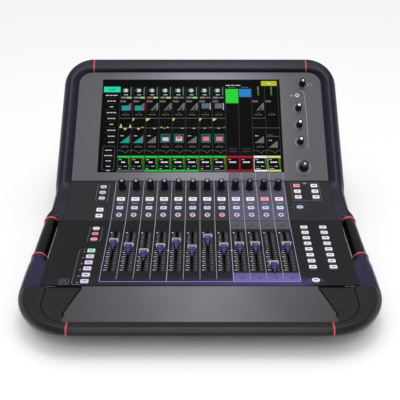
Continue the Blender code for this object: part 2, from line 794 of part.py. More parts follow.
def make_panels():
    under = (0.0, 0.0, -PANEL_THICKNESS / 2)
    length = FADER_PANEL_LENGTH - GAP
    slot_t = FADER_BOTTOM_T + FADER_TRAVEL / 2
    slot_length = FADER_TRAVEL + FADER_STEM_LENGTH + 2 * KEY_CLEARANCE
    edge = rounded(FADER_PANEL_WIDTH, length, 0.0015, 1, (0.0, length / 2))
    slots = [
        rounded(FADER_SLOT_WIDTH, slot_length, KEY_CLEARANCE, 1, (strip_x(strip), slot_t))
        for strip in range(STRIP_COUNT)
    ]
    outlines = [edge] + slots + key_holes("fader")
    sheet("fader_panel", outlines, PANEL_THICKNESS, PAINTED, EMPTIES["fader"], under)

    length = STRIP_PANEL_LENGTH - 2 * GAP - PANEL_THICKNESS * math.tan(SCREEN_SLOPE - STRIP_SLOPE)
    edge = rounded(STRIP_PANEL_WIDTH, length, 0.0015, 1, (0.0, GAP + length / 2))
    shafts = [shaft_hole(strip_x(strip), ENCODER_T) for strip in range(STRIP_COUNT)]
    outlines = [edge] + shafts + key_holes("strip")
    sheet("strip_panel", outlines, PANEL_THICKNESS, PAINTED, EMPTIES["strip"], under)

    half = SCREEN_PANEL_WIDTH / 2
    low, high = GAP, SCREEN_PANEL_LENGTH
    edge = [(-half, low), (half, low)]
    steps = 6
    for side in (1, -1):
        for step in range(steps + 1):
            turn = (step if side > 0 else steps - step) * math.pi / 2 / steps
            x = side * (half - TOP_CORNER_RADIUS + TOP_CORNER_RADIUS * math.cos(turn))
            edge.append((x, high - TOP_CORNER_RADIUS + TOP_CORNER_RADIUS * math.sin(turn)))
    window_size = (GLASS_WIDTH + 2 * GAP, GLASS_HEIGHT + 2 * GAP)
    window_centre = (GLASS_CENTRE_X, GLASS_BOTTOM_T + GLASS_HEIGHT / 2)
    window = rounded(*window_size, GAP, 1, window_centre)
    knobs = [shaft_hole(SOFT_KNOB_X, t) for t in SOFT_KNOB_T]
    knobs.append(shaft_hole(MAIN_KNOB_X, MAIN_KNOB_T))
    knobs.append(shaft_hole(HEADPHONE_KNOB_X, HEADPHONE_KNOB_T))
    outlines = [edge, window] + knobs + key_holes("screen")
    sheet("screen_panel", outlines, PANEL_THICKNESS, SCREEN_PAINT, EMPTIES["screen"], under)


def make_knob(name, plane, x, t, sizes, material=KNOB):
    """Skirt, tapered cap and shaft in one turned piece, standing on its panel."""
    skirt, cap, height = sizes
    profile = [
        (0.0, height),
        (cap * 0.86, height),
        (cap, height - 0.0010),
        (skirt * 0.93, 0.0030),
        (skirt, 0.0006),
        (SHAFT_RADIUS, 0.0006),
        (SHAFT_RADIUS, -SHAFT_DEPTH),
        (0.0, -SHAFT_DEPTH),
    ]
    return turned(name, profile, KNOB_SIDES, material, EMPTIES[plane], (x, t, 0.0))


def make_fader(strip):
    """Cap, stem through the slot and the carriage that runs in the fader bank."""
    name = f"fader_cap_{strip + 1:02d}"
    rest_t = FADER_BOTTOM_T + FADER_REST_MM[strip] / 1000
    half = FADER_CAP_LENGTH / 2
    low, high = FADER_CAP_LIFT, FADER_CAP_HEIGHT
    outline = [
        (-half, low),
        (half, low),
        (half, high - 0.0015),
        (half - 0.0012, high),
        (half - 0.0060, high - 0.0020),
        (0.0, high - 0.0032),
        (-half + 0.0050, high - 0.0026),
        (-half + 0.0010, high - 0.0040),
    ]
    cap = side_prism(name, outline, -FADER_CAP_WIDTH / 2, FADER_CAP_WIDTH / 2)
    piece = put(name, cap, CAP, EMPTIES["fader"])
    piece.location = (strip_x(strip), rest_t, 0.0)
    width, length, height = FADER_CARRIAGE
    stem_x, stem_t = FADER_STEM_WIDTH / 2, FADER_STEM_LENGTH / 2
    carriage_top = -FADER_CARRIAGE_DEPTH
    stem = boxes(name + "_stem", [
        ((-stem_x, -stem_t, carriage_top - 0.0010), (stem_x, stem_t, low + 0.0030)),
    ])
    carriage = boxes(name + "_carriage", [
        ((-width / 2, -length / 2, carriage_top - height), (width / 2, length / 2, carriage_top)),
    ])
    join(piece, name + "_stem", stem)
    join(piece, name + "_carriage", carriage)
    return piece


def make_fader_bank():
    """One long bed with a channel under each slot, where the carriages run."""
    length = FADER_TRAVEL + FADER_CARRIAGE[1] + 0.0080
    middle_t = FADER_BOTTOM_T + FADER_TRAVEL / 2
    floor = -FADER_CARRIAGE_DEPTH - FADER_CARRIAGE[2] - 0.0015
    base = -PANEL_THICKNESS - FADER_BANK_DEPTH
    top = -PANEL_THICKNESS - GAP
    half = (STRIP_PITCH - FADER_CARRIAGE[0]) / 2 - FADER_BANK_CLEARANCE
    outline = [(strip_x(-0.5) - half, base)]
    outline.append((strip_x(STRIP_COUNT - 0.5) + half, base))
    for rib in reversed(range(STRIP_COUNT + 1)):
        x = strip_x(rib - 0.5)
        right, left = (x + half, top), (x - half, top)
        outline.append(right)
        outline.append(left)
        if rib:
            outline.append((x - half, floor))
            outline.append((x - STRIP_PITCH + half, floor))
    work = bmesh.new()
    prism_into(work, outline, -length / 2, length / 2)
    turn = Matrix(((1, 0, 0, 0), (0, 0, 1, 0), (0, 1, 0, 0), (0, 0, 0, 1)))
    bmesh.ops.transform(work, matrix=turn, verts=work.verts)
    bank = put("fader_bank", mesh_from(work, "fader_bank"), STEEL, EMPTIES["fader"])
    bank.location = (0.0, middle_t, 0.0)
    return bank


def make_encoder_board():
    """Board under the strip panel, with an encoder body round each shaft."""
    top = -ENCODER_BOARD_DEPTH
    half = strip_x(STRIP_COUNT - 1) + ENCODER_BOARD_MARGIN
    low_t, high_t = ENCODER_BOARD_T
    plate = boxes("encoder_board", [((-half, low_t, top - BOARD_THICKNESS), (half, high_t, top))])
    board = put("encoder_board", plate, BOARD, EMPTIES["strip"])
    centres = [strip_x(strip) for strip in range(STRIP_COUNT)]
    side = ENCODER_BODY / 2
    bodies = []
    bores = bmesh.new()
    for x in centres:
        low = (x - side, ENCODER_T - side, top - BOARD_THICKNESS / 2)
        bodies.append((low, (x + side, ENCODER_T + side, -PANEL_THICKNESS - 2 * GAP)))
        bore = ring(SHAFT_RADIUS + KEY_CLEARANCE, 8, (x, ENCODER_T))
        prism_into(bores, bore, -SHAFT_DEPTH - GAP, 0.0)
    join(board, "encoder_bodies", boxes("encoder_bodies", bodies))
    join(board, "encoder_bores", mesh_from(bores, "encoder_bores"), "DIFFERENCE")
    return board


def make_touch_screen():
    """Cover glass bonded to the display module behind it."""
    half_x, half_t = GLASS_WIDTH / 2, GLASS_HEIGHT / 2
    glass = boxes("touch_screen", [((-half_x, -half_t, -GLASS_THICKNESS), (half_x, half_t, 0.0))])
    screen = put("touch_screen", glass, GLASS, EMPTIES["screen"])
    screen.location = (GLASS_CENTRE_X, GLASS_BOTTOM_T + half_t, 0.0)
    low = (-half_x + LCD_INSET, -half_t + LCD_INSET, -GLASS_THICKNESS - LCD_THICKNESS)
    high = (half_x - LCD_INSET, half_t - LCD_INSET, -GLASS_THICKNESS / 2)
    join(screen, "touch_screen_lcd", boxes("touch_screen_lcd", [(low, high)]))
    return screen


def rear_frame(name):
    """An empty on the rear panel's outer face: local X to the left from behind, Y up, Z out."""
    empty = bpy.data.objects.new(name, None)
    console.objects.link(empty)
    empty.location = (0.0, REAR_Y - REAR_PANEL_RECESS, 0.0)
    empty.rotation_euler = (math.pi / 2, 0.0, math.pi)
    return empty


REAR = rear_frame("rear_plane")


def socket_centres():
    middle = (SOCKET_COUNT - 1) / 2
    return [((i - middle) * SOCKET_PITCH, SOCKET_HEIGHT) for i in range(SOCKET_COUNT)]


def network_centres():
    return [(-x, NETWORK_HEIGHT) for x in NETWORK_X]


def make_rear_panel():
    top = SCREEN_REAR.z - TOP_RAIL_DROP - GAP
    low = FOOT_HEIGHT
    height = top - low
    edge = rounded(TRAY_WIDTH - 2 * GAP, height, 0.0015, 1, (0.0, low + height / 2))
    holes = [ring(SOCKET_RADIUS + KEY_CLEARANCE, 12, centre) for centre in socket_centres()]
    for centre in network_centres():
        width, tall = NETWORK_OUTER
        grow = 2 * KEY_CLEARANCE
        holes.append(rounded(width + grow, tall + grow, 0.0008, 1, centre))
    inlet = [size + 2 * KEY_CLEARANCE for size in INLET_BODY]
    holes.append(rounded(*inlet, KEY_CLEARANCE, 1, (-INLET_X, INLET_HEIGHT)))
    switch = [size + 2 * SWITCH_CLEARANCE for size in SWITCH_SIZE]
    holes.append(rounded(*switch, 0.0012, 1, (-SWITCH_X, INLET_HEIGHT)))
    place = (0.0, 0.0, -REAR_PANEL_THICKNESS / 2)
    sheet("rear_panel", [edge] + holes, REAR_PANEL_THICKNESS, STEEL, REAR, place)


def make_io_board():
    """Board behind the rear panel that carries the microphone and network sockets."""
    back = -BOARD_SETBACK
    board_low = (-BOARD_WIDTH / 2, NETWORK_HEIGHT - 0.0150, back - BOARD_THICKNESS)
    board_high = (BOARD_WIDTH / 2, SOCKET_HEIGHT + 0.0200, back)
    board = put("io_board", boxes("io_board", [(board_low, board_high)]), BOARD, REAR)
    work = bmesh.new()
    for x, y in socket_centres():
        outline = ring(SOCKET_RADIUS * math.cos(math.pi / 12), 12, (x, y))
        prism_into(work, outline, back - BOARD_THICKNESS / 2, SOCKET_PROUD)
    join(board, "io_board_sockets", mesh_from(work, "io_board_sockets"))
    jacks = []
    for x, y in network_centres():
        half_x, half_y = NETWORK_OUTER[0] / 2, NETWORK_OUTER[1] / 2
        low = (x - half_x, y - half_y, back - BOARD_THICKNESS / 2)
        jacks.append((low, (x + half_x, y + half_y, SOCKET_PROUD)))
    join(board, "io_board_jacks", boxes("io_board_jacks", jacks))
    cavities = []
    for x, y in network_centres():
        half_x, half_y = NETWORK_OPENING[0] / 2, NETWORK_OPENING[1] / 2
        low = (x - half_x, y - half_y, SOCKET_PROUD - 0.0150)
        cavities.append((low, (x + half_x, y + half_y, SOCKET_PROUD + 0.0050)))
    join(board, "io_board_cavities", boxes("io_board_cavities", cavities), "DIFFERENCE")
    return board


def make_mains_inlet():
    """Appliance inlet: flange outside the rear panel, body inside, three pins in its cavity."""
    flange_x, flange_y = INLET_FLANGE[0] / 2, INLET_FLANGE[1] / 2
    body_x, body_y = INLET_BODY[0] / 2, INLET_BODY[1] / 2
    cavity_x, cavity_y = INLET_CAVITY[0] / 2, INLET_CAVITY[1] / 2
    face = 0.0022
    back = face - INLET_DEPTH
    flange = boxes("mains_inlet", [((-flange_x, -flange_y, GAP), (flange_x, flange_y, face))])
    inlet = put("mains_inlet", flange, GLOSS, REAR)
    inlet.location = (-INLET_X, INLET_HEIGHT, 0.0)
    body = boxes("inlet_body", [((-body_x, -body_y, back - 0.0020), (body_x, body_y, face / 2))])
    join(inlet, "inlet_body", body)
    hollow = boxes("inlet_hollow", [((-cavity_x, -cavity_y, back), (cavity_x, cavity_y, face + 0.0050))])
    join(inlet, "inlet_hollow", hollow, "DIFFERENCE")
    width, length, height = INLET_PIN
    pins = []
    for offset, lift in ((-INLET_PIN_PITCH, -0.0020), (0.0, 0.0020), (INLET_PIN_PITCH, -0.0020)):
        low = (offset - width / 2, lift - height / 2, back - 0.0010)
        pins.append((low, (offset + width / 2, lift + height / 2, back + length)))
    join(inlet, "inlet_pins", boxes("inlet_pins", pins))
    return inlet


def make_power_switch():
    """Rocker on its pivot in the rear panel's plane, pressed in at its lower end."""
    half = SWITCH_SIZE[1] / 2
    outline = [
        (-0.0080, -half + 0.0030),
        (-0.0080, half - 0.0030),
        (0.0, half),
        (0.0024, half),
        (0.0008, 0.0),
        (0.0024, -half),
        (0.0, -half),
    ]
    body = side_prism("power_switch", outline, -SWITCH_SIZE[0] / 2, SWITCH_SIZE[0] / 2)
    rocker = put("power_switch", body, GLOSS, REAR)
    rocker.location = (-SWITCH_X, INLET_HEIGHT, 0.0)
    rocker.rotation_euler = (SWITCH_TILT, 0.0, 0.0)
    swap = Matrix(((1, 0, 0, 0), (0, 0, 1, 0), (0, 1, 0, 0), (0, 0, 0, 1)))
    rocker.data.transform(swap)
    rocker.data.flip_normals()
    return rocker


def make_box_piece(name, low, high, material, bevel=0.0):
    piece = put(name, boxes(name, [(low, high)]), material)
    if bevel:
        edge = piece.modifiers.new("edge", "BEVEL")
        edge.width = bevel
        edge.segments = 2
    return piece


def make_inside():
    floor = FOOT_HEIGHT + TRAY_WALL + GAP
    rear = REAR_Y - REAR_PANEL_RECESS - REAR_PANEL_THICKNESS - BOARD_SETBACK - 0.0080
    width, depth, height = SUPPLY_SIZE
    low_x = TRAY_WIDTH / 2 - TRAY_WALL - GAP - 0.0080 - width
    low = (low_x, rear - depth, floor)
    make_box_piece("power_supply", low, (low_x + width, rear, floor + height), METAL)


def make_feet():
    half = FOOT_LENGTH / 2
    tops = FOOT_HEIGHT - GAP
    front = FADER_FRONT.y - ARMREST_LENGTH + FRONT_FOOT_SETBACK
    rear = REAR_Y - REAR_FOOT_SETBACK
    for name, middle in (("front_foot", front), ("rear_foot", rear)):
        low = (-half, middle - FOOT_WIDTH / 2, 0.0)
        high = (half, middle + FOOT_WIDTH / 2, tops)
        make_box_piece(name, low, high, RUBBER, 0.0015)


make_tray()
make_panels()
make_armrest()
make_top_rail()
make_front_rail()
for side, word in ((-1, "left"), (1, "right")):
    make_upper_rail("upper_rail_" + word, side)
    make_front_corner("front_corner_" + word, side)
    make_handle("handle_" + word, side)
for group_name in KEY_GROUPS:
    make_key_group(group_name)
for strip in range(STRIP_COUNT):
    make_fader(strip)
    make_knob(f"encoder_knob_{strip + 1:02d}", "strip", strip_x(strip), ENCODER_T, ENCODER_KNOB)
for number, knob_t in enumerate(SOFT_KNOB_T):
    make_knob(f"soft_knob_{number + 1}", "screen", SOFT_KNOB_X, knob_t, SOFT_KNOB)
make_knob("main_knob", "screen", MAIN_KNOB_X, MAIN_KNOB_T, MAIN_KNOB)
make_knob("headphone_knob", "screen", HEADPHONE_KNOB_X, HEADPHONE_KNOB_T, HEADPHONE_KNOB)
make_fader_bank()
make_encoder_board()
make_touch_screen()
make_rear_panel()
make_io_board()
make_mains_inlet()
make_power_switch()
make_inside()
make_feet()
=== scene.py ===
import json
import math

import bpy
import numpy as np
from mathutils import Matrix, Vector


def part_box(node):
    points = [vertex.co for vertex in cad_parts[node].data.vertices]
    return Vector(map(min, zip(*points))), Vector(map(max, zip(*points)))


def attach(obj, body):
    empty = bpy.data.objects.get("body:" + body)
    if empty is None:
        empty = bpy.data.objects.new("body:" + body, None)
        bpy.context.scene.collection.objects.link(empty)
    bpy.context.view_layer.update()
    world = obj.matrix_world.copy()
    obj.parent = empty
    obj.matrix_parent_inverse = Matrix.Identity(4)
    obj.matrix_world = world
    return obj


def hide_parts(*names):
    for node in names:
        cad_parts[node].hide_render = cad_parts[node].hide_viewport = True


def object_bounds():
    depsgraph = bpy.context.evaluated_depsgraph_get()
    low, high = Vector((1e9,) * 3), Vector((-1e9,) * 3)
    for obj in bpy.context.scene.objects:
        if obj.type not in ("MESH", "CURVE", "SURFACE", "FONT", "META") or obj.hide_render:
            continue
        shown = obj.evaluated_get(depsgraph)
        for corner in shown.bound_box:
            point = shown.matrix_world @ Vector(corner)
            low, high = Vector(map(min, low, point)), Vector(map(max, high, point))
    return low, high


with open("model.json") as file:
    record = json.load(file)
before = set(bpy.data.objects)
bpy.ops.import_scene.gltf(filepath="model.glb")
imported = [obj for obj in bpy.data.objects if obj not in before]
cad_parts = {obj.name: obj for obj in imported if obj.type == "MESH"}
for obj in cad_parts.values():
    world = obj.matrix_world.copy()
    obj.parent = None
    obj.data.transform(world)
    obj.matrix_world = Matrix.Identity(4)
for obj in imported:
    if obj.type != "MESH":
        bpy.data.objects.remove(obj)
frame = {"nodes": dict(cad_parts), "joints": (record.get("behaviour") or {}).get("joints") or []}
cadBox = [[float(value) for value in corner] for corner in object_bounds()]
nodes = frame["nodes"]
joints = {joint["name"]: joint for joint in frame["joints"]}
mm = 0.001               # every layout below is in millimetres


# Colours and finishes

def linear(hexColour):
    # sRGB hex to linear: a straight foot, then a 2.4 power
    shares = [int(hexColour[i:i + 2], 16) / 255 for i in (1, 3, 5)]
    return (*[s / 12.92 if s <= 0.04045 else ((s + 0.055) / 1.055) ** 2.4 for s in shares], 1.0)


def addNode(material, kind, settings=None, inputs=None, links=None):
    node = material.node_tree.nodes.new(kind)
    for key, value in (settings or {}).items():
        setattr(node, key, value)
    for key, value in (inputs or {}).items():
        node.inputs[key].default_value = value
    for key, socket in (links or {}).items():
        material.node_tree.links.new(socket, node.inputs[key])
    return node


def shaderOf(material):
    return material.node_tree.nodes["Principled BSDF"]


def startFinish(name, roughness, metallic=0.0, mirror=0.5):
    # mirror is the strength of the plain reflection: 0.5 is a bare surface's, and a coating lowers it
    material = bpy.data.materials.new(name)
    material.use_nodes = True
    for key, value in (("Roughness", roughness), ("Metallic", metallic), ("Specular IOR Level", mirror)):
        shaderOf(material).inputs[key].default_value = value
    return material


def feed(material, socket, key):
    material.node_tree.links.new(socket, shaderOf(material).inputs[key])


def baseSource(material):
    return shaderOf(material).inputs["Base Color"].links[0].from_socket


def objectPlace(material):
    return addNode(material, "ShaderNodeTexCoord").outputs["Object"]


def splitPlace(material):
    return addNode(material, "ShaderNodeSeparateXYZ", links={"Vector": objectPlace(material)}).outputs


def ramp(material, factor, stops):
    node = addNode(material, "ShaderNodeValToRGB", links={"Fac": factor})
    while len(node.color_ramp.elements) < len(stops):
        node.color_ramp.elements.new(0.5)
    for element, (place, colour) in zip(node.color_ramp.elements, stops):
        element.position = place
        element.color = linear(colour)
    return node


def grained(name, dark, light, roughness, grain, bump, metallic=0.0, mirror=0.5):
    # A moulded or powder-coated surface: grain is the bump's pitch in millimetres, drawn coarse enough
    # to show, and a slow drift in the colour keeps a wide face from reading as one flat tone
    material = startFinish(name, roughness, metallic, mirror)
    place = objectPlace(material)
    drift = addNode(material, "ShaderNodeTexNoise", inputs={"Scale": 7.0, "Detail": 5.0},
                    links={"Vector": place})
    tone = ramp(material, drift.outputs["Fac"], [(0.3, dark), (0.7, light)])
    fine = addNode(material, "ShaderNodeTexNoise", inputs={"Scale": 1 / (grain * mm), "Detail": 3.0},
                   links={"Vector": place})
    dent = addNode(material, "ShaderNodeBump", inputs={"Strength": bump, "Distance": 0.2 * mm},
                   links={"Height": fine.outputs["Fac"]})
    wear = addNode(material, "ShaderNodeMapRange",
                   inputs={"To Min": roughness - 0.06, "To Max": roughness + 0.08},
                   links={"Value": fine.outputs["Fac"]})
    feed(material, tone.outputs["Color"], "Base Color")
    feed(material, dent.outputs["Normal"], "Normal")
    feed(material, wear.outputs["Result"], "Roughness")
    return material


def tinted(name, roughness, paint, glow, mirror=0.5):
    # The piece's own tint attribute gives both the colour under light and the glow, in these two shares,
    # with a faint mottle over it
    material = startFinish(name, roughness, 0.0, mirror)
    tint = addNode(material, "ShaderNodeAttribute", {"attribute_name": "tint"})
    mottle = addNode(material, "ShaderNodeTexNoise", inputs={"Scale": 900.0, "Detail": 2.0},
                     links={"Vector": objectPlace(material)})
    shade = addNode(material, "ShaderNodeMapRange", inputs={"To Min": 0.88, "To Max": 1.08},
                    links={"Value": mottle.outputs["Fac"]})
    mixed = addNode(material, "ShaderNodeVectorMath", {"operation": "SCALE"},
                    links={"Vector": tint.outputs["Color"], "Scale": shade.outputs["Result"]})
    painted = addNode(material, "ShaderNodeVectorMath", {"operation": "SCALE"}, {"Scale": paint},
                      {"Vector": mixed.outputs["Vector"]})
    feed(material, painted.outputs["Vector"], "Base Color")
    feed(material, mixed.outputs["Vector"], "Emission Color")
    shaderOf(material).inputs["Emission Strength"].default_value = glow
    return material


# Powder coat on steel: dark, slightly rough, with a sparkle that breaks up the light
powderCoat = grained("powderCoat", "#1b1a1f", "#222126", 0.5, 0.7, 0.25, mirror=0.2)
# The same coat in a lighter grey, with a little more sheen
screenCoat = grained("screenCoat", "#73717b", "#7a7882", 0.36, 0.7, 0.22, mirror=0.3)
# Satin lacquer over the cast surround: a blue-black that holds one soft highlight
satinLacquer = grained("satinLacquer", "#171524", "#1e1c2d", 0.34, 0.5, 0.08, mirror=0.2)
# The same lacquer round the armrest: a neutral black without the surround's blue, with a little more sheen
frontLacquer = grained("frontLacquer", "#121214", "#19191b", 0.3, 0.5, 0.08, mirror=0.3)
cornerLacquer = grained("cornerLacquer", "#121214", "#19191b", 0.3, 0.5, 0.08, mirror=0.3)
# The powder coat again, darker and with the least sheen, for the violet glow added below
glowCoat = grained("glowCoat", "#151518", "#1b1b1f", 0.5, 0.7, 0.25, mirror=0.15)
# Soft-touch elastomer: broad grey sheen and a leathery grain
softTouch = grained("softTouch", "#68676c", "#737277", 0.55, 1.6, 0.5, mirror=0.14)
# Piano-black lacquer on the grips: nearly black, with a narrow reflection along the tube
pianoBlack = grained("pianoBlack", "#040406", "#08080c", 0.2, 2.0, 0.02, mirror=0.3)
# Red anodised trim
redTrim = grained("redTrim", "#b8303c", "#cb4450", 0.4, 0.6, 0.05)
# Black painted steel: dull, with a coarse grain
blackSteel = grained("blackSteel", "#0d0d0f", "#141416", 0.5, 0.8, 0.3)
# Dyed polycarbonate knobs: deep violet-black, half gloss
knobPlastic = grained("knobPlastic", "#0c0a1c", "#150f30", 0.3, 0.6, 0.05, mirror=0.3)
# Coated cover glass: its coating takes away most of the reflection
coverGlass = grained("coverGlass", "#020203", "#040405", 0.2, 3.0, 0.0, mirror=0.04)
# Rubber: black, with hardly any shine
footRubber = grained("footRubber", "#111112", "#18181a", 0.8, 0.8, 0.4)
# Zinc plate: pale metal with a soft mirror
zincPlate = grained("zincPlate", "#9a9ca0", "#b4b6ba", 0.3, 1.5, 0.1, 1.0)
# Circuit board: dark green, half gloss
greenLaminate = grained("greenLaminate", "#0b3d1f", "#10502a", 0.4, 0.9, 0.15)
# Satin nickel rim on the fader caps
nickelRim = grained("nickelRim", "#cfcdd6", "#e2e0ea", 0.3, 0.8, 0.05, 0.3)
# Printed marks: matt, with a little glow that keeps them legible in shade
screenInk = tinted("screenInk", 0.55, 0.9, 0.08, 0.2)
# Lit silicone keys: half paint, half light from under them
keySilicone = tinted("keySilicone", 0.5, 0.45, 0.5, 0.2)
# Acrylic fader caps: glossy, coloured through and slightly lit
capAcrylic = tinted("capAcrylic", 0.25, 0.65, 0.3, 0.3)
# Lamp covers: small, and mostly glow
lampAcrylic = tinted("lampAcrylic", 0.3, 0.5, 0.75)
# The display: nearly all its light is its own
displayPixels = tinted("displayPixels", 0.3, 0.1, 0.85, 0.01)


def addGlow(material):
    # Violet light from under the front edge of the fader panel: it fades up the panel and towards both sides
    low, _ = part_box("fader_panel")
    x, y, _ = splitPlace(material)
    shares = []
    for value, start, end, curve in ((y, low.y + 0.030, low.y + 0.002, "SMOOTHERSTEP"),
                                     (x, -0.330, 0.160, "SMOOTHSTEP"), (x, 0.200, 0.150, "SMOOTHSTEP")):
        fade = addNode(material, "ShaderNodeMapRange", {"interpolation_type": curve},
                       {"From Min": start, "From Max": end}, {"Value": value})
        shares.append(fade.outputs["Result"])
    amount = shares[0]
    for share in shares[1:]:
        product = addNode(material, "ShaderNodeMath", {"operation": "MULTIPLY"}, links={0: amount, 1: share})
        amount = product.outputs["Value"]
    glow = ramp(material, amount, [(0.0, "#000000"), (0.4, "#1a172c"), (1.0, "#463c78")])
    feed(material, glow.outputs["Color"], "Emission Color")
    shaderOf(material).inputs["Emission Strength"].default_value = 0.8


def addFade(material, near, far, share):
    # The light over the desk falls off sideways, so the coat darkens to this share of itself at both ends
    away = addNode(material, "ShaderNodeMath", {"operation": "ABSOLUTE"}, links={0: splitPlace(material)[0]})
    fade = addNode(material, "ShaderNodeMapRange", {"interpolation_type": "SMOOTHSTEP"},
                   {"From Min": near, "From Max": far, "To Min": 1.0, "To Max": share},
                   {"Value": away.outputs["Value"]})
    faded = addNode(material, "ShaderNodeVectorMath", {"operation": "SCALE"},
                    links={"Vector": baseSource(material), "Scale": fade.outputs["Result"]})
    feed(material, faded.outputs["Vector"], "Base Color")


def addVioletReflection(material, hexColour):
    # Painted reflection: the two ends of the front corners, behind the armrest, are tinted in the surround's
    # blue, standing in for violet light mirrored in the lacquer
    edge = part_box("fader_panel")[0].y
    behind = addNode(material, "ShaderNodeMapRange",
                     inputs={"From Min": edge - 0.001, "From Max": edge + 0.001},
                     links={"Value": splitPlace(material)[1]})
    blend = addNode(material, "ShaderNodeMix", {"data_type": "RGBA"},
                    links={0: behind.outputs["Result"], 6: baseSource(material)})
    blend.inputs[7].default_value = linear(hexColour)
    feed(material, blend.outputs[2], "Base Color")


def shadeByTint(material):
    # Painted light and shade: the tint lightens the pad's middle as a painted highlight and darkens the groove
    # floors as painted shade; the outer corners of the pad are darker than its middle
    tint = addNode(material, "ShaderNodeAttribute", {"attribute_name": "tint"})
    product = addNode(material, "ShaderNodeVectorMath", {"operation": "MULTIPLY"},
                      links={0: baseSource(material), 1: tint.outputs["Color"]})
    feed(material, product.outputs["Vector"], "Base Color")


addGlow(glowCoat)
addFade(screenCoat, 0.0, 0.20, 0.34)
# painted reflection: blue-violet on the corner ends behind the armrest
addVioletReflection(cornerLacquer, "#211e3a")
shadeByTint(softTouch)
print("finishes made")


# Places: each face has a start, and directions across, along and out of it

def faceOf(node, pressJoint, startGap):
    normal = -np.array(joints[pressJoint]["axis"], float)
    along = np.array([0.0, normal[2], -normal[1]])
    low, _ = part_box(node)
    start = np.array([0.0, low.y, low.z + 2.0 * mm * normal[2]]) - startGap * mm * along
    return {"start": start, "across": np.array([1.0, 0.0, 0.0]), "along": along, "normal": normal}


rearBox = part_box("rear_panel")
faces = {
    "fader": faceOf("fader_panel", "page_keys_press", 0.0),
    "strip": faceOf("strip_panel", "mute_keys_press", 0.3),
    "screen": faceOf("screen_panel", "round_key_press", 0.3),
    "rear": {
        "start": np.array([0.0, rearBox[1].y, 0.0]),
        "across": np.array([-1.0, 0.0, 0.0]),
        "along": np.array([0.0, 0.0, 1.0]),
        "normal": np.array([0.0, 1.0, 0.0]),
    },
}


def toWorld(face, points):
    # Local millimetres (across, along, out) to world metres
    local = np.asarray(points, float) * mm
    world = local[..., 0:1] * face["across"] + local[..., 1:2] * face["along"] + local[...,
                                                                                       2:3] * face["normal"]
    return world + face["start"]


# Shapes: each is a closed body of points, quads, end fans and a tint for every point

plain = (1.0, 1.0, 1.0, 1.0)


def stack(rings, colour=plain):
    # A skin over a row of rings: each quad joins two neighbours, and a fan about the middle closes each end
    levels, around = rings.shape[:2]
    points = np.vstack([rings.reshape(-1, 3), rings[0].mean(0), rings[-1].mean(0)])
    index = np.arange(levels * around).reshape(levels, around)
    ahead = np.roll(index, -1, axis=1)
    quads = np.stack([index[:-1], ahead[:-1], ahead[1:], index[1:]], -1).reshape(-1, 4)
    first = np.full(around, levels * around)
    fans = np.vstack([
        np.stack([first, ahead[0], index[0]], -1),
        np.stack([first + 1, index[-1], ahead[-1]], -1),
    ])
    triangles = np.vstack([quads[:, [0, 1, 2]], quads[:, [0, 2, 3]], fans])
    a, b, c = (points[triangles[:, i]] for i in range(3))
    if (a * np.cross(b, c)).sum() < 0:       # six times the volume, negative when inside out
        quads, fans = quads[:, ::-1], fans[:, ::-1]
    tints = np.array(colour, float)
    if tints.ndim == 3:                      # one tint for each point of each ring
        tints = np.vstack([tints.reshape(-1, 4), tints[0].mean(0), tints[-1].mean(0)])
    else:
        tints = np.tile(tints, (len(points), 1))
    return points, quads, fans, tints


def lifted(outlines, heights):
    # Each flat outline as a ring at its own height
    return np.array([np.column_stack([outline, np.full(len(outline), n)]) for outline,
                     n in zip(outlines, heights)])


def plate(outline, low, high, colour):
    # A flat outline drawn up from low to high
    return stack(lifted([outline] * 2, (low, high)), colour)


def bar(x0, x1, t0, t1, colour, low=-0.2, high=0.08):
    return plate([(x0, t0), (x1, t0), (x1, t1), (x0, t1)], low, high, colour)


def circle(radius, around, x=0.0, t=0.0):
    turns = np.linspace(0, 2 * math.pi, around, endpoint=False)
    return np.column_stack([x + radius * np.cos(turns), t + radius * np.sin(turns)])


def band(path, width, colour, low=-0.2, high=0.08):
    # A ribbon of constant width: each path point gives a ring of four corners, square to the path
    path = np.asarray(path, float)
    ahead = np.gradient(path, axis=0)
    ahead /= np.linalg.norm(ahead, axis=1, keepdims=True)
    side = np.column_stack([-ahead[:, 1], ahead[:, 0]]) * width / 2
    corners = [(path - side, low), (path + side, low), (path + side, high), (path - side, high)]
    rings = lifted(*zip(*corners)).transpose(1, 0, 2)
    return stack(rings, colour)


def roundedOutline(width, height, radius, per=4, x=0.0, t=0.0):
    # A rectangle whose corners are quarter circles
    turn = np.linspace(0, math.pi / 2, per)
    angles = np.concatenate([turn + quarter * math.pi / 2 for quarter in range(4)])
    sideX = np.repeat([1, -1, -1, 1], per)
    sideT = np.repeat([1, 1, -1, -1], per)
    return np.column_stack([
        x + sideX * (width / 2 - radius) + radius * np.cos(angles),
        t + sideT * (height / 2 - radius) + radius * np.sin(angles),
    ])


def frameBand(width, height, radius, line, x, t, colour, low=-0.2, high=0.08):
    outline = roundedOutline(width, height, radius, 5, x, t)
    return band(np.vstack([outline, outline[:1]]), line, colour, low, high)


def turned(profile, around, x=0.0, t=0.0, flutes=0, depth=0.0, colour=plain):
    # (radius, height) pairs turned about the normal; flutes wave the radius by depth round the side
    turns = np.linspace(0, 2 * math.pi, around, endpoint=False)
    wave = 1 - depth * (0.5 + 0.5 * np.cos(flutes * turns))
    rings = [
        np.column_stack([x + r * (wave if fluted else 1) * np.cos(turns),
                         t + r * (wave if fluted else 1) * np.sin(turns), np.full(around, n)])
        for r, n, fluted in profile
    ]
    return stack(np.array(rings), colour)


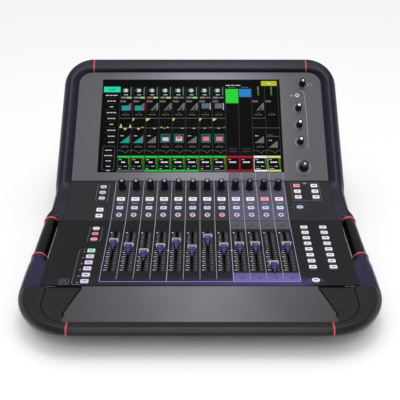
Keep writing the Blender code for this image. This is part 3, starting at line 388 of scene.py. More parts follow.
def makePiece(name, parts, material, face=None, body="desk", replaced=(), sharp=35):
    counts = np.cumsum([0] + [len(part[0]) for part in parts])
    points = np.vstack([part[0] for part in parts])
    if face is not None:
        points = toWorld(face, points)
    quads = np.vstack([part[1] + start for part, start in zip(parts, counts)])
    fans = np.vstack([part[2] + start for part, start in zip(parts, counts)])
    corners = np.concatenate([quads.ravel(), fans.ravel()])
    totals = np.concatenate([np.full(len(quads), 4), np.full(len(fans), 3)])
    mesh = bpy.data.meshes.new(name)
    mesh.vertices.add(len(points))
    mesh.vertices.foreach_set("co", points.ravel())
    mesh.loops.add(len(corners))
    mesh.loops.foreach_set("vertex_index", corners)
    mesh.polygons.add(len(totals))
    mesh.polygons.foreach_set("loop_start", np.concatenate([[0], np.cumsum(totals)[:-1]]))
    mesh.polygons.foreach_set("loop_total", totals)
    mesh.update(calc_edges=True)
    tint = mesh.attributes.new("tint", "FLOAT_COLOR", "POINT")
    tint.data.foreach_set("color", np.vstack([part[3] for part in parts]).ravel())
    mesh.shade_smooth()
    mesh.set_sharp_from_angle(angle=math.radians(sharp))
    mesh.materials.append(material)
    piece = bpy.data.objects.new(name, mesh)
    bpy.context.scene.collection.objects.link(piece)
    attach(piece, body)
    if replaced:
        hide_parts(*replaced)
    return piece


def repaint(material, *names):
    for name in names:
        mesh = nodes[name].data
        mesh.materials.clear()
        mesh.materials.append(material)


repaint(glowCoat, "fader_panel")
repaint(powderCoat, "strip_panel")
repaint(screenCoat, "screen_panel")
repaint(coverGlass, "touch_screen")
repaint(blackSteel, "base_tray", "fader_bank", "rear_panel")
repaint(zincPlate, "power_supply")
repaint(greenLaminate, "encoder_board", "io_board")

# The surround

surround = {
    "rise": 8.2,            # crest over the screen panel
    "depth": 36.0,
    "consoleHalf": 278.5,
    "upperHalf": 273.0,
    "waistHalf": 270.0,
    "panelHalf": 240.3,
    "faderHalf": 245.8,
    "padHalf": 235.3,
    "trayHalf": 222.3,
    "topSeam": 211.8,
    "frontSeam": 190.0,
    "seam": 2.4,
    "topCorner": 25.0,
    "padCorner": 42.0,
    "frontCorner": 100.0,
    "handleX": (264.8, 264.0),
    "handleT": (82.5, 188.5),
    "handleDrop": 15.0,
    "collar": 13.0,
    "armrest": 79.5,
    "reach": 18.0,
    "stripLength": 106.4,
    "screenLength": 237.3,
}
rearLimit = cadBox[1][1]


def pchip(knots, values, wanted):
    # Smooth curve through the values that never overshoots: slopes are harmonic means of both neighbours
    step = np.diff(knots)[:, None, None]
    slope = np.diff(values, axis=0) / step
    middle = np.zeros_like(values)
    same = slope[:-1] * slope[1:] > 0
    safe0, safe1 = np.where(same, slope[:-1], 1.0), np.where(same, slope[1:], 1.0)
    weight0, weight1 = 2 * step[1:] + step[:-1], step[1:] + 2 * step[:-1]
    mean = (weight0 + weight1) / (weight0 / safe0 + weight1 / safe1)
    middle[1:-1] = np.where(same, mean, 0.0)
    middle[0], middle[-1] = slope[0], slope[-1]
    at = np.clip(np.searchsorted(knots, wanted, side="right") - 1, 0, len(knots) - 2)
    gap = step[at]
    s = (wanted - knots[at])[:, None, None] / gap
    start, end = values[at], values[at + 1]
    turn0, turn1 = middle[at] * gap, middle[at + 1] * gap
    return ((2 * s ** 3 - 3 * s ** 2 + 1) * start + (s ** 3 - 2 * s ** 2 + s) * turn0
            + (3 * s ** 2 - 2 * s ** 3) * end + (s ** 3 - s ** 2) * turn1)


def softened(rings, shares, per=5):
    # Each corner turns into a quadratic curve between points a share of the way to its neighbours
    before, after = np.roll(rings, 1, axis=1), np.roll(rings, -1, axis=1)
    share = np.asarray(shares)[None, :, None]
    start, end = rings + (before - rings) * share, rings + (after - rings) * share
    s = np.linspace(0, 1, per)[None, None, :, None]
    curve = (1 - s) ** 2 * start[:, :, None] + 2 * s * (1 - s) * rings[:, :, None] + s ** 2 * end[:, :, None]
    return curve.reshape(len(rings), -1, 3)


def railSkin(rings, shares, spacing=3.0):
    # Rings every few millimetres along the rail, each with its corners eased
    rings = np.array(rings)
    if spacing:
        middles = rings.mean(1)
        knots = np.concatenate([[0], np.cumsum(np.linalg.norm(np.diff(middles, axis=0), axis=1))])
        wanted = np.unique(np.concatenate([np.arange(0, knots[-1], spacing * mm), knots]))
        rings = pchip(knots, rings, wanted)
    skin = softened(rings, shares)
    skin[..., 1] = np.minimum(skin[..., 1], rearLimit)
    return stack(skin)


def placedSection(face, x, t, outward, section, n=0.0):
    # Section points are (outward from the inner edge, height over the face)
    section = np.asarray(section, float)
    base = np.array([x, t, n])
    outward = np.asarray(outward, float)
    points = base + section[:, :1] * outward + section[:, 1:] * np.array([0.0, 0.0, 1.0])
    return toWorld(faces[face], points)


def sideSection(rise, reach):
    share = rise / surround["rise"]
    flange = surround["panelHalf"] - surround["trayHalf"]
    depth = surround["depth"]
    return np.array([
        (0.0, 0.0), (6.5, rise * 0.62), (12.5, rise * 1.0),
        (reach - 16.0 + 6.0 * (1 - share), rise * 1.01),
        (reach - 10.5 + 4.0 * (1 - share), rise - 3.2),
        (reach - 3.5 + 1.0 * (1 - share), rise - 12.0),
        (reach, -18.0), (reach - 2.0, -27.0), (reach - 9.0, -depth + 1.5), (14.0, -depth),
        (-flange, -depth + 2.0), (-flange, -10.0), (0.0, -2.3),
    ])


def dropPoint(back, down):
    # Back and down in world terms, in the top rail's own section terms
    sine, cosine = -faces["screen"]["normal"][1], faces["screen"]["normal"][2]
    return (back * cosine - down * sine, -back * sine - down * cosine)


topSection = np.array([
    (0.0, 0.0), (2.6, 5.6), (5.5, 7.8), (20.5, 8.2), (26.6, 5.6), (30.2, 0.0),
    dropPoint(27.5, -13.0), dropPoint(27.5, 6.0), dropPoint(27.5, 28.0),
    dropPoint(20.5, 28.0), dropPoint(15.0, 20.0), (-1.0, -15.0), (0.0, -2.3),
])
sideShares = [0.1, 0.3, 0.45, 0.45, 0.3, 0.45, 0.45, 0.45, 0.4, 0.3, 0.1, 0.1, 0.1]


def collarSection(radius):
    turns = np.radians((135, 110, 85, 58, 32, 5, -22, -50, -80, -110, -140, -170, 160))
    return np.column_stack([radius * np.cos(turns), radius * np.sin(turns)])


def collarShoulder():
    # The collar's outside with its inner edge carried in, level, to the edge of the strip panel
    section = collarSection(surround["collar"])
    edge = surround["panelHalf"] - surround["handleX"][1]
    section[[0, 11, 12]] = [(edge, surround["handleDrop"] - 0.4), (edge, -12.0),
                            (edge, surround["handleDrop"] - 2.4)]
    section[1] = (edge * 0.4, surround["handleDrop"] - 0.5)
    return section


def waistLip(side):
    # A flat lip between the strip panel's corner, the red ring and the rail
    outline = [(240.6, 1.0), (251.0, 1.0), (249.5, 26.0), (240.6, 26.0)]
    points, quads, fans, tints = plate([(side * x, t) for x, t in outline], -2.5, -0.4, plain)
    return toWorld(faces["strip"], points), quads, fans, tints


def handlePoint(side, t):
    front, rear = surround["handleT"]
    share = (t - front) / (rear - front)
    x = surround["handleX"][0] + (surround["handleX"][1] - surround["handleX"][0]) * share
    return side * x, t


def upperRail(side):
    s = surround
    flush = sideSection(0.0, s["waistHalf"] - s["panelHalf"])
    raised = sideSection(s["rise"], s["upperHalf"] - s["panelHalf"])
    rings = []
    for t, section in ((0.3, collarSection(s["collar"])), (6.3, collarShoulder())):
        place = handlePoint(side, s["handleT"][1] + t)
        rings.append(placedSection("fader", *place, (side, 0, 0), section, -s["handleDrop"]))
    bend = math.acos(np.dot(faces["strip"]["normal"], faces["screen"]["normal"]))
    for t in (40.0, s["stripLength"] - s["rise"] / math.sin(bend)):
        rings.append(placedSection("strip", side * s["panelHalf"], t, (side, 0, 0), flush))
    middleT = s["screenLength"] - s["topCorner"]
    for t in (0.0, 6.0, middleT - 6.0, middleT):
        rings.append(placedSection("screen", side * s["panelHalf"], t, (side, 0, 0), raised))
    middleX = s["panelHalf"] - s["topCorner"]
    for share in np.linspace(0, 1, 9)[1:]:
        turn = share * math.pi / 2
        outward = np.array([side * math.cos(turn), math.sin(turn), 0.0])
        inner = np.array([side * middleX, middleT, 0.0]) + s["topCorner"] * outward
        rings.append(placedSection("screen", inner[0], inner[1], outward,
                                   raised + (topSection - raised) * share))
    rings.append(placedSection("screen", side * (s["topSeam"] + s["seam"] / 2), s["screenLength"],
                               (0, 1, 0), topSection))
    return railSkin(rings, sideShares)


def topRail(x0, x1):
    return railSkin([placedSection("screen", x, surround["screenLength"], (0, 1, 0),
                                   topSection) for x in (x0, x1)],
                    sideShares, None)


def cornerSection(width):
    shares = np.array([
        (0.0, 0.0), (0.3, 0.2), (0.58, 0.2), (0.74, -1.0), (0.89, -5.6), (0.97, -8.5), (1.0, -13.0),
        (0.95, -21.5), (0.80, -26.5), (0.50, -29.0), (0.20, -29.0), (0.0, -20.0), (0.0, -10.0),
    ])
    return shares * (width, 1.0)


def frontSection(reach):
    return np.array([
        (0.0, 0.0), (5.0, 0.0), (reach - 6.8, 0.0), (reach - 5.2, -0.7), (reach - 0.9, -5.4), (reach, -7.0),
        (reach - 0.3, -11.5), (reach - 4.8, -14.0), (reach - 11.0, -18.0), (4.0, -22.0), (0.0, -22.0),
        (0.0, -16.0), (0.0, -10.0),
    ])


def frontReach(x):
    # The outside corner's arc starts inside the seam, so the rail's ends already curve back a little
    s = surround
    past = max(abs(x) - (s["consoleHalf"] - s["frontCorner"]), 0.0)
    return s["reach"] - s["frontCorner"] + math.sqrt(s["frontCorner"] ** 2 - past ** 2)


cornerShares = [0.1, 0.4, 0.4, 0.25, 0.25, 0.3, 0.4, 0.45, 0.45, 0.4, 0.4, 0.1, 0.1]


def gripSection(reach):
    shares = np.array([
        (0.0, -6.0), (0.21, -4.2), (0.42, -2.6), (0.60, -1.2), (0.80, -3.0), (0.95, -8.0), (1.0, -13.5),
        (0.94, -21.5), (0.78, -26.5), (0.48, -29.0), (0.18, -29.0), (0.0, -24.0), (0.0, -13.0),
    ])
    return shares * (reach, 1.0)


def frontCorner(side):
    s = surround
    frontT = s["handleT"][0]
    rings = []
    for t in (frontT - 0.3, frontT - 6.3):
        rings.append(placedSection("fader", *handlePoint(side, t), (side, 0, 0), collarSection(s["collar"]),
                                   -s["handleDrop"]))
    grip = gripSection(s["consoleHalf"] - s["faderHalf"])
    for t in (frontT - 24.3, 2.0):
        rings.append(placedSection("fader", side * s["faderHalf"], t, (side, 0, 0), grip))
    rings.append(placedSection("fader", side * s["padHalf"], -2.0, (side, 0, 0),
                               cornerSection(s["consoleHalf"] - s["padHalf"])))
    padX, padT = s["padHalf"] - s["padCorner"], s["padCorner"] - s["armrest"] - 0.3
    outX, outT = s["consoleHalf"] - s["frontCorner"], s["frontCorner"] - s["armrest"] - s["reach"] - 0.3
    outEnd = math.acos((padX - outX) / s["frontCorner"])
    for share in np.linspace(0, 1, 15):
        ends = []
        for x, t, radius, last in ((padX, padT, s["padCorner"], math.pi / 2),
                                   (outX, outT, s["frontCorner"], outEnd)):
            turn = last * share
            ends.append(np.array([side * (x + radius * math.cos(turn)), t - radius * math.sin(turn), 0.0]))
        span = ends[1] - ends[0]
        width = np.linalg.norm(span)
        section = cornerSection(width)
        section = section + (frontSection(width) - section) * share ** 2
        rings.append(placedSection("fader", ends[0][0], ends[0][1], span / width, section))
    seamX = s["frontSeam"] + s["seam"] / 2
    rings.append(placedSection("fader", side * seamX, -s["armrest"] - 0.3, (0, -1, 0),
                               frontSection(frontReach(seamX))))
    return railSkin(rings, cornerShares)


def frontRail(x0, x1):
    places = np.linspace(x0, x1, 48 if x1 - x0 > 100 else 2)
    rings = [placedSection("fader", x, -surround["armrest"] - 0.3, (0, -1, 0),
                           frontSection(frontReach(x))) for x in places]
    return railSkin(rings, cornerShares, None)


for side, word in ((-1, "left"), (1, "right")):
    makePiece("upperRail" + word.title(), [upperRail(side), waistLip(side)], satinLacquer, None, "desk",
              ["upper_rail_" + word])
    makePiece("frontCorner" + word.title(), [frontCorner(side)], cornerLacquer, None, "desk",
              ["front_corner_" + word])
topHalf, frontHalf = surround["topSeam"] - surround["seam"] / 2, surround["frontSeam"] - surround["seam"] / 2
makePiece("topRail", [topRail(-topHalf, topHalf)], satinLacquer, None, "desk", ["top_rail"])
makePiece("frontRail", [frontRail(-frontHalf, frontHalf)], frontLacquer, None, "desk",
          ["front_rail"])
seams = []
for side in (-1, 1):
    inner, outer = side * (topHalf + 0.05), side * (topHalf + surround["seam"] - 0.05)
    seams.append(topRail(min(inner, outer), max(inner, outer)))
    inner, outer = side * (frontHalf + 0.05), side * (frontHalf + surround["seam"] - 0.05)
    seams.append(frontRail(min(inner, outer), max(inner, outer)))
makePiece("railSeams", seams, redTrim, None, "desk")

# Handles: a lacquered tube with a red ring at each end

handle = {"radius": 12.0, "ring": 13.6, "ringWidth": 3.0, "wideRing": 4.6, "around": 64}


def handleFace(side):
    front = toWorld(faces["fader"], [*handlePoint(side, surround["handleT"][0]), -surround["handleDrop"]])
    rear = toWorld(faces["fader"], [*handlePoint(side, surround["handleT"][1]), -surround["handleDrop"]])
    normal = (rear - front) / np.linalg.norm(rear - front)
    along = faces["fader"]["normal"]
    across = np.cross(along, normal)
    across /= np.linalg.norm(across)
    place = {"start": front, "across": across, "along": np.cross(normal, across), "normal": normal}
    return place, np.linalg.norm(rear - front) / mm


for side, word in ((-1, "left"), (1, "right")):
    place, length = handleFace(side)
    w, r = handle["ringWidth"], handle["radius"]
    tube = [(r - 0.4, w - 0.6), (r, w), (r, w + 1), (r, length / 2), (r, length - w - 1), (r, length - w),
            (r - 0.4, length - w + 0.6)]
    makePiece("grip" + word.title(), [turned([(a, b, False) for a, b in tube], handle["around"])], pianoBlack,
              place, "desk", ["handle_" + word])
    rings = []
    for start, width in ((0.0, w), (length - handle["wideRing"], handle["wideRing"])):
        # half-round outside: the radius bulges between both edges of the ring
        bulge = [(handle["ring"] - 0.5 * (2 * share - 1) ** 4, start + width * share,
                  False) for share in np.linspace(0, 1, 9)]
        rings.append(turned(bulge, handle["around"]))
    makePiece("gripRings" + word.title(), rings, redTrim, place, "desk")
print("surround and handles made")

# Armrest pad: one moulded sheet with a groove cut down each side

pad = {
    "half": 235.0, "front": -79.5, "rear": -0.3, "corner": 42.0, "thick": 5.0,
    "groove": [(181.0, -6.5), (190.5, -34.0), (198.6, -59.0), (199.3, -62.5), (197.6, -68.0)],
    "grooveWidth": 2.3, "grooveDepth": 2.2, "recess": 2.6, "recessT": -6.3, "edge": 1.2,
}


def distanceTo(path, x, t):
    # Shortest distance from each grid point to a run of straight pieces
    best = np.full(x.shape, 1e9)
    for (x0, t0), (x1, t1) in zip(path[:-1], path[1:]):
        length2 = (x1 - x0) ** 2 + (t1 - t0) ** 2
        share = np.clip(((x - x0) * (x1 - x0) + (t - t0) * (t1 - t0)) / length2, 0, 1)
        best = np.minimum(best, np.hypot(x - x0 - share * (x1 - x0), t - t0 - share * (t1 - t0)))
    return best


def padBody():
    # The outline's half width follows a quarter circle at each front corner. The top is a grid over it:
    # flat, less a smooth trench along each groove and a step at the rear outside corners
    p = pad
    t = np.concatenate([
        p["front"] + p["corner"] * (1 - np.cos(np.linspace(0, math.pi / 2, 34)))[:-1] * 0.55,
        np.linspace(p["front"] + p["corner"] * 0.55, p["rear"], 60),
    ])
    inset = np.clip(p["corner"] - (t - p["front"]), 0, None)
    half = p["half"] - p["corner"] + np.sqrt(np.clip(p["corner"] ** 2 - inset ** 2, 0, None))
    u = np.sin(np.linspace(-math.pi / 2, math.pi / 2, 301)) * 0.35 + np.linspace(-1, 1, 301) * 0.65
    x, tt = u[None, :] * half[:, None], np.repeat(t[:, None], len(u), axis=1)
    away = distanceTo(p["groove"], np.abs(x), tt)
    trench = p["grooveDepth"] * np.exp(-(away / (p["grooveWidth"] / 2)) ** 4)
    grooveX = np.interp(tt, [point[1] for point in reversed(p["groove"])],
                        [point[0] for point in reversed(p["groove"])])
    outside = 1 / (1 + np.exp(-(np.abs(x) - grooveX) / 0.4))
    step = p["recess"] * outside / (1 + np.exp(-(tt - p["recessT"]) / 0.25))
    edge = np.minimum(half[:, None] - np.abs(x), np.minimum(tt - p["front"], p["rear"] - tt))
    rolled = p["edge"] - np.sqrt(np.clip(p["edge"] ** 2 - np.clip(p["edge"] - edge, 0, None) ** 2, 0, None))
    top = -np.maximum(np.maximum(trench, step), rolled)
    rings = np.concatenate([
        np.stack([x, tt, top], -1),
        np.stack([x, tt, np.full_like(x, -p["thick"])], -1)[:, ::-1],
    ], axis=1)
    # painted highlight and shade: lightest in the middle, and lighter there towards the rear, darker to the
    # sides, darkest at the outer corners, and dark in the grooves as painted shade
    middle = (0.30 + 0.62 * np.exp(-(x / 130.0) ** 2)
              + 0.14 * (tt - p["front"]) / 79.0 * np.exp(-(x / 150.0) ** 2))
    shade = np.where(trench > 0.5, 0.02, np.where(outside > 0.5, 0.10, middle))
    # painted shade: black along the rear edge, where the pad meets the fader panel
    shade = np.where(tt > p["rear"] - np.where(outside > 0.5, 4.0, 2.0), 0.02, shade)
    # painted shade: the walls and the underside are nearly black
    shade = np.concatenate([shade, np.full_like(shade, 0.05)], axis=1)[..., None]
    return stack(rings, np.concatenate([np.repeat(shade, 3, -1), np.ones_like(shade)], -1))


makePiece("armrestPad", [padBody()], softTouch, faces["fader"], "desk", ["armrest"], 50)
print("armrest made")

# Keys

keyForm = {"height": 2.0, "sunk": -2.2, "round": 0.7}
keyColours = {
    "white": "#f4eefa", "lilac": "#e3d6f6", "blue": "#c3d8f6", "cyan": "#c9f2fb", "pink": "#f7a9b8",
    "rose": "#e88a96", "green": "#b8f0d2", "mint": "#c4dccf", "ring": "#d9c4dd", "core": "#6d5a80",
    "label": "#7b7195",
    "red": "#f59aa0", "paleBlue": "#b9cdf2",
}


def keyCap(shape, size, x, t, colour, label=True):
    # The key's outline stands up from under the panel, its top edge rolled over a quarter round
    width, height = size
    radius = {"square": 1.2, "oval": height / 2 - 0.05, "round": height / 2 - 0.02}[shape]
    per = {"square": 4, "oval": 8, "round": 10}[shape]
    levels = [(keyForm["sunk"], 0.0)]
    for turn in np.linspace(0, math.pi / 2, 5):
        levels.append((keyForm["height"] - keyForm["round"] * (1 - math.sin(turn)),
                       keyForm["round"] * (1 - math.cos(turn))))
    heights, insets = zip(*levels)
    rings = lifted([roundedOutline(width - 2 * inset, height - 2 * inset, max(radius - inset, 0.3), per, x, t)
                    for inset in insets], heights)
    # painted shade: the sides are tinted darker than the lit face, so each key reads with a rim
    lit = np.array(linear(keyColours[colour]))
    shares = np.array([0.3, 0.35, 0.5, 0.7, 0.9, 1.0])[:, None, None]
    parts = [stack(rings, lit * shares + np.zeros((1, rings.shape[1], 1)))]
    if label == "ring":
        parts.append(plate(circle(height * 0.26, 14, x, t), keyForm["height"] - 0.2, keyForm["height"] + 0.04,
                           linear(keyColours["core"])))
    elif label:
        parts.append(bar(x - width * 0.26, x + width * 0.26, t - height * 0.13, t + height * 0.13,
                         linear(keyColours["label"]), keyForm["height"] - 0.2, keyForm["height"] + 0.04))
    return parts


stripX = [joints[f"encoder_turn_{i + 1:02d}"]["pos_m"][0] / mm for i in range(12)]
keyPitch = 15.4


def keyColumn(shape, size, x, firstT, colours, label=True):
    parts = []
    for row, colour in enumerate(colours):
        parts += keyCap(shape, size, x, firstT - row * keyPitch, colour, label)
    return parts


def makeKeys(name, face, node, parts):
    makePiece(name, parts, keySilicone, faces[face], node, [node], 40)


stripKeys = {
    "mute_keys": ("square", (14.6, 9.4), 54.6, ["white"] * 10 + ["pink", "white"], True, "white_key_plastic"),
    "mix_keys": ("square", (12.0, 8.0), 31.7, ["blue"] * 11 + ["cyan"], True, "blue_key_plastic"),
    "listen_keys": ("round", (10.2, 10.2), 13.5, ["ring"] * 7 + ["pink"] + ["ring"] * 4, "ring",
                    "white_key_plastic"),
}
for node, (shape, size, t, colours, label, slot) in stripKeys.items():
    caps = []
    for x, colour in zip(stripX, colours):
        caps += keyCap(shape, size, x, t, colour, label)
    makeKeys(node.split("_")[0] + "KeyCaps", "strip", node, caps)
makeKeys("viewKeyCaps", "strip", "view_keys",
         keyColumn("oval", (12.2, 8.0), -178.0, 88.0, ["mint"] * 3)
         + keyColumn("square", (12.4, 8.8), -178.0, 26.8, ["white"] * 2))
makeKeys("assignKeyCaps", "strip", "assign_keys",
         keyColumn("square", (12.4, 8.8), 178.5, 91.2, ["red", "white", "white"])
         + keyColumn("square", (12.4, 8.8), 210.8, 91.2, ["white"] * 3)
         + keyColumn("oval", (12.2, 8.0), 178.5, 33.8, ["paleBlue"]))
makeKeys("pageKeyCaps", "fader", "page_keys",
         keyColumn("oval", (12.2, 8.0), -178.0, 147.0, ["white", "rose", "pink"])
         + keyColumn("square", (12.8, 9.0), -178.0, 84.9, ["green"] + ["lilac"] * 5))
makeKeys("softKeyCaps", "fader", "soft_keys",
         keyColumn("square", (12.2, 8.0), 178.9, 150.7, ["white"] * 8)
         + keyColumn("square", (12.2, 8.0), 211.4, 150.7, ["white"] * 8)
         + keyColumn("oval", (12.8, 9.0), 178.9, 10.8, ["white"]))
makeKeys("roundKeyCap", "screen", "round_key", keyCap("round", (9.0, 9.0), 191.5, 183.1, "mint", "ring"))
print("keys made")

# Knobs: fluted bodies with a lamp or an inlay in the top

knobs = {
    "encoder": {"skirt": 7.0, "cap": 5.5, "height": 20.0, "lamp": 2.5, "flutes": 18},
    "soft": {"skirt": 6.2, "cap": 5.0, "height": 15.0, "lamp": 2.6, "flutes": 16},
    "main": {"skirt": 8.5, "cap": 7.2, "height": 17.0, "lamp": 1.9, "flutes": 24},
    "phones": {"skirt": 6.6, "cap": 5.4, "height": 15.0, "lamp": 2.2, "flutes": 16},
}


def makeKnob(name, kind, face, joint, node, lampColour, ringColour=None):
    k = knobs[kind]
    centre = np.array(joints[joint]["pos_m"])
    place = dict(faces[face], start=centre)
    skirt, cap, height = k["skirt"], k["cap"], k["height"]
    profile = [(skirt - 0.5, 0.6, False), (skirt, 0.9, False), (skirt, 1.8, False), (skirt - 0.6, 2.6, False),
               (skirt * 0.91, 3.2, True)]
    profile += [(skirt * 0.91 + (cap - skirt * 0.91) * share, 3.2 + (height - 4.4) * share, True)
                for share in np.linspace(0, 1, 8)[1:]]
    profile += [(cap * 0.97, height - 0.6, False), (cap * 0.88, height - 0.15, False),
                (k["lamp"] + 0.9, height - 0.1, False),
                (k["lamp"] + 0.3, height - 0.6, False)]
    makePiece(name, [turned(profile, 96, flutes=k["flutes"], depth=0.07)], knobPlastic, place, node,
              [node], 45)
    dome = [(k["lamp"], height - 1.2, False)]
    dome += [(k["lamp"] * math.cos(turn), height - 0.7 + 0.65 * math.sin(turn), False)
             for turn in np.linspace(0, math.pi / 2 * 0.92, 6)]
    lamp = [turned(dome, 24, colour=linear(lampColour))]
    if ringColour:
        lamp.append(turned([(k["lamp"] + 3.2, height - 0.7, False), (k["lamp"] + 3.2, height - 0.4, False),
                            (k["lamp"] + 0.6, height - 0.4, False)], 32, colour=linear(ringColour)))
    makePiece(name + "Lamp", lamp, lampAcrylic, place, node, (), 60)


for i in range(12):
    number = f"{i + 1:02d}"
    makeKnob("encoder" + number, "encoder", "strip", "encoder_turn_" + number, "encoder_knob_" + number,
             "#bb91a6" if i < 8 else "#5f5d70")
for i in range(3):
    makeKnob(f"softKnob{i + 1}", "soft", "screen", f"soft_knob_turn_{i + 1}", f"soft_knob_{i + 1}", "#eef6f6")
makeKnob("mainKnob", "main", "screen", "main_knob_turn", "main_knob", "#f4ef9a", "#5d5944")
makeKnob("phonesKnob", "phones", "screen", "headphone_turn", "headphone_knob", "#cfd0dc")
print("knobs made")

# Fader caps: violet acrylic that narrows to the front, in a nickel rim

capForm = {"bar": 7.45, "half": 11.0, "base": 1.7, "rearTop": 9.9, "rim": 1.0, "barDepth": 1.1, "leg": 0.26}
# how far down the cap, half width and top height, from the rear bar to the dark nose over the slot
capRun = [(0.0, 6.0, 8.4), (0.08, 5.9, 7.2), (0.25, 5.6, 5.4), (0.40, 5.3, 6.4), (0.55, 4.4, 6.6),
          (0.66, 3.0, 5.4),
          (0.78, 1.9, 3.6), (0.88, 1.4, 2.6), (1.0, 1.1, 2.2)]


def capShape(v):
    # Half width and top height, read from the run
    shares, halves, tops = zip(*capRun)
    return np.interp(v, shares, halves), np.interp(v, shares, tops)


def capBody():
    # Rings across the cap: flat sides, a top that dips in the middle, and violet lighter across the middle of
    # the top; the nose over the slot and the foot of each side are painted near black as shade, and the violet
    # also darkens towards the rear bar
    c = capForm
    v = np.linspace(0.04, 1.0, 28)
    half, top = capShape(v)
    u = np.linspace(-1, 1, 13)
    rings, tints = [], []
    light, deep, dark = (np.array(linear(h)) for h in ("#41378f", "#20147a", "#0a0624"))
    for ringHalf, ringTop, share in zip(half, top, v):
        surface = ringTop - 0.14 * ringHalf * (1 - u ** 2) - 0.9 * np.abs(u) ** 8
        x = np.concatenate([u * ringHalf, [ringHalf, -ringHalf]])
        n = np.concatenate([surface, [c["base"], c["base"]]])
        rings.append(np.column_stack([x, np.full(len(x), c["half"] * (1 - 2 * share)), n]))
        middle = (1 - u ** 2)[:, None] * math.exp(-((share - 0.42) / 0.1) ** 2)
        face = deep + (light - deep) * middle
        # painted shade: near black at the nose over the slot; darker towards the rear bar
        face = face + (dark - face) * np.clip(max((share - 0.56) / 0.16, (0.30 - share) / 0.12), 0, 1)
        # painted shade: the foot of each side is near black
        tints.append(np.vstack([face, dark, dark]))
    return stack(np.array(rings), np.array(tints))


def capRim():
    # A bar across the rear top edge, and a leg down each side that thins out towards the front
    c = capForm
    rings = []
    for u in np.linspace(-1, 1, 15):
        x, top = u * c["bar"], c["rearTop"] - 1.0 * abs(u) ** 6
        rings.append([(x, c["half"], c["base"] + 2.5), (x, c["half"], top),
                      (x, c["half"] - c["barDepth"], top + 0.1),
                      (x, c["half"] - c["barDepth"], c["base"] + 2.5)])
    parts = [stack(np.array(rings))]
    for side in (-1, 1):
        rings = []
        for share in np.linspace(0, 1, 10):
            width, t = c["rim"] * (1 - 0.55 * share), c["half"] * (1 - 2 * c["leg"] * share)
            outer = c["bar"] - 1.1 * share
            top = c["rearTop"] - 0.9 - 2.0 * share
            rings.append([(side * outer, t, top - 2.4), (side * outer, t, top),
                          (side * (outer - width), t, top + 0.2),
                          (side * (outer - width), t, top - 2.4)])
        parts.append(stack(np.array(rings)))
    return parts


def capStem():
    # The blade through the slot, and the carriage under the panel
    return [plate(roundedOutline(2.0, 8.0, 0.6, 4), -9.0, 2.2, plain),
            plate(roundedOutline(9.0, 11.0, 1.2, 4), -13.0, -8.0, plain)]


for i in range(12):
    number = f"{i + 1:02d}"
    node = "fader_cap_" + number
    low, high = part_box(node)
    middle = np.array([(low.x + high.x) / 2, (low.y + high.y) / 2, 0.0])
    # the cap's middle in the fader face's own terms
    along, start = faces["fader"]["along"], faces["fader"]["start"]
    t = (middle[1] - start[1]) / along[1]
    place = dict(faces["fader"], start=start + t * along + np.array([middle[0], 0.0, 0.0]))
    makePiece("faderCap" + number, [capBody()], capAcrylic, place, node, [node], 40)
    makePiece("faderRim" + number, capRim(), nickelRim, place, node, (), 40)
    makePiece("faderStem" + number, capStem(), blackSteel, place, node)
print("fader caps made")

# Printed marks on the panels

ink = {
    "line": "#a3a2ac", "soft": "#74747b", "dark": "#0e0e14", "scale": "#a9a9af", "dim": "#7f7f86",
    "white": "#d4d4da", "dot": "#9b9ba1", "knobArc": "#97979e", "phones": "#8e8e95",
}
gapX = [stripX[0] - 13.0 + 26.0 * i for i in range(13)]      # between strips, and outside the first and last


def shadedBar(x0, x1, t0, t1, colour0, colour1, low=-0.2, high=0.03, steps=12):
    # A flat zone whose colour runs from one shade at t0 to another at t1
    shares = np.linspace(0, 1, steps)
    rings = np.array([[(x0, t, low), (x1, t, low), (x1, t, high), (x0, t, high)]
                      for t in t0 + (t1 - t0) * shares])
    a, b = np.array(linear(colour0)), np.array(linear(colour1))
    tints = (a + (b - a) * shares[:, None])[:, None, :] + np.zeros((1, 4, 1))
    return stack(rings, tints)


def dividers(t0, t1, columns, width, colour0, colour1):
    return [shadedBar(gapX[i] - width / 2, gapX[i] + width / 2, t0, t1, colour0, colour1, 0.0, 0.09)
            for i in columns]


def arc(x, t, radius, start, end, count):
    # Part of a circle, with its ends in half turns
    turns = np.linspace(start * math.pi, end * math.pi, count)
    return np.column_stack([x + radius * np.cos(turns), t + radius * np.sin(turns)])


def stroke(path, width, shade="soft"):
    return band(path, width, linear(ink[shade]))


def pill(width, height, radius, per, x, t, hexColour, top=0.08):
    return plate(roundedOutline(width, height, radius, per, x, t), 0.0, top, linear(hexColour))


def brackets(x, points, width):
    # A line on each side of a key column: points are its distance from x and its place up the panel
    return [stroke([(x + side * reach, t) for reach, t in points], width) for side in (-1, 1)]


def phones(x, t, radius, start, end, count, width, shade, cup):
    # Headphones: an arc over two cups, whose size, corner, distance from x and place are in cup
    wide, tall, corner, reach, low = cup
    cups = [pill(wide, tall, corner, 3, x + side * reach, low, ink[shade]) for side in (-1, 1)]
    return [stroke(arc(x, t, radius, start, end, count), width, shade)], cups


# the four right-hand strips are a lighter zone
faderPrint = [shadedBar(gapX[8], gapX[12], 8.2, 29.6, "#6a62a4", "#56517c"),
              shadedBar(gapX[8], gapX[12], 146.3, 171.0, "#4f4e58", "#54535c")]


def scaleMark(x0, x1, t, half, shade):
    faderPrint.append(bar(x0, x1, t - half, t + half, linear(ink[shade])))


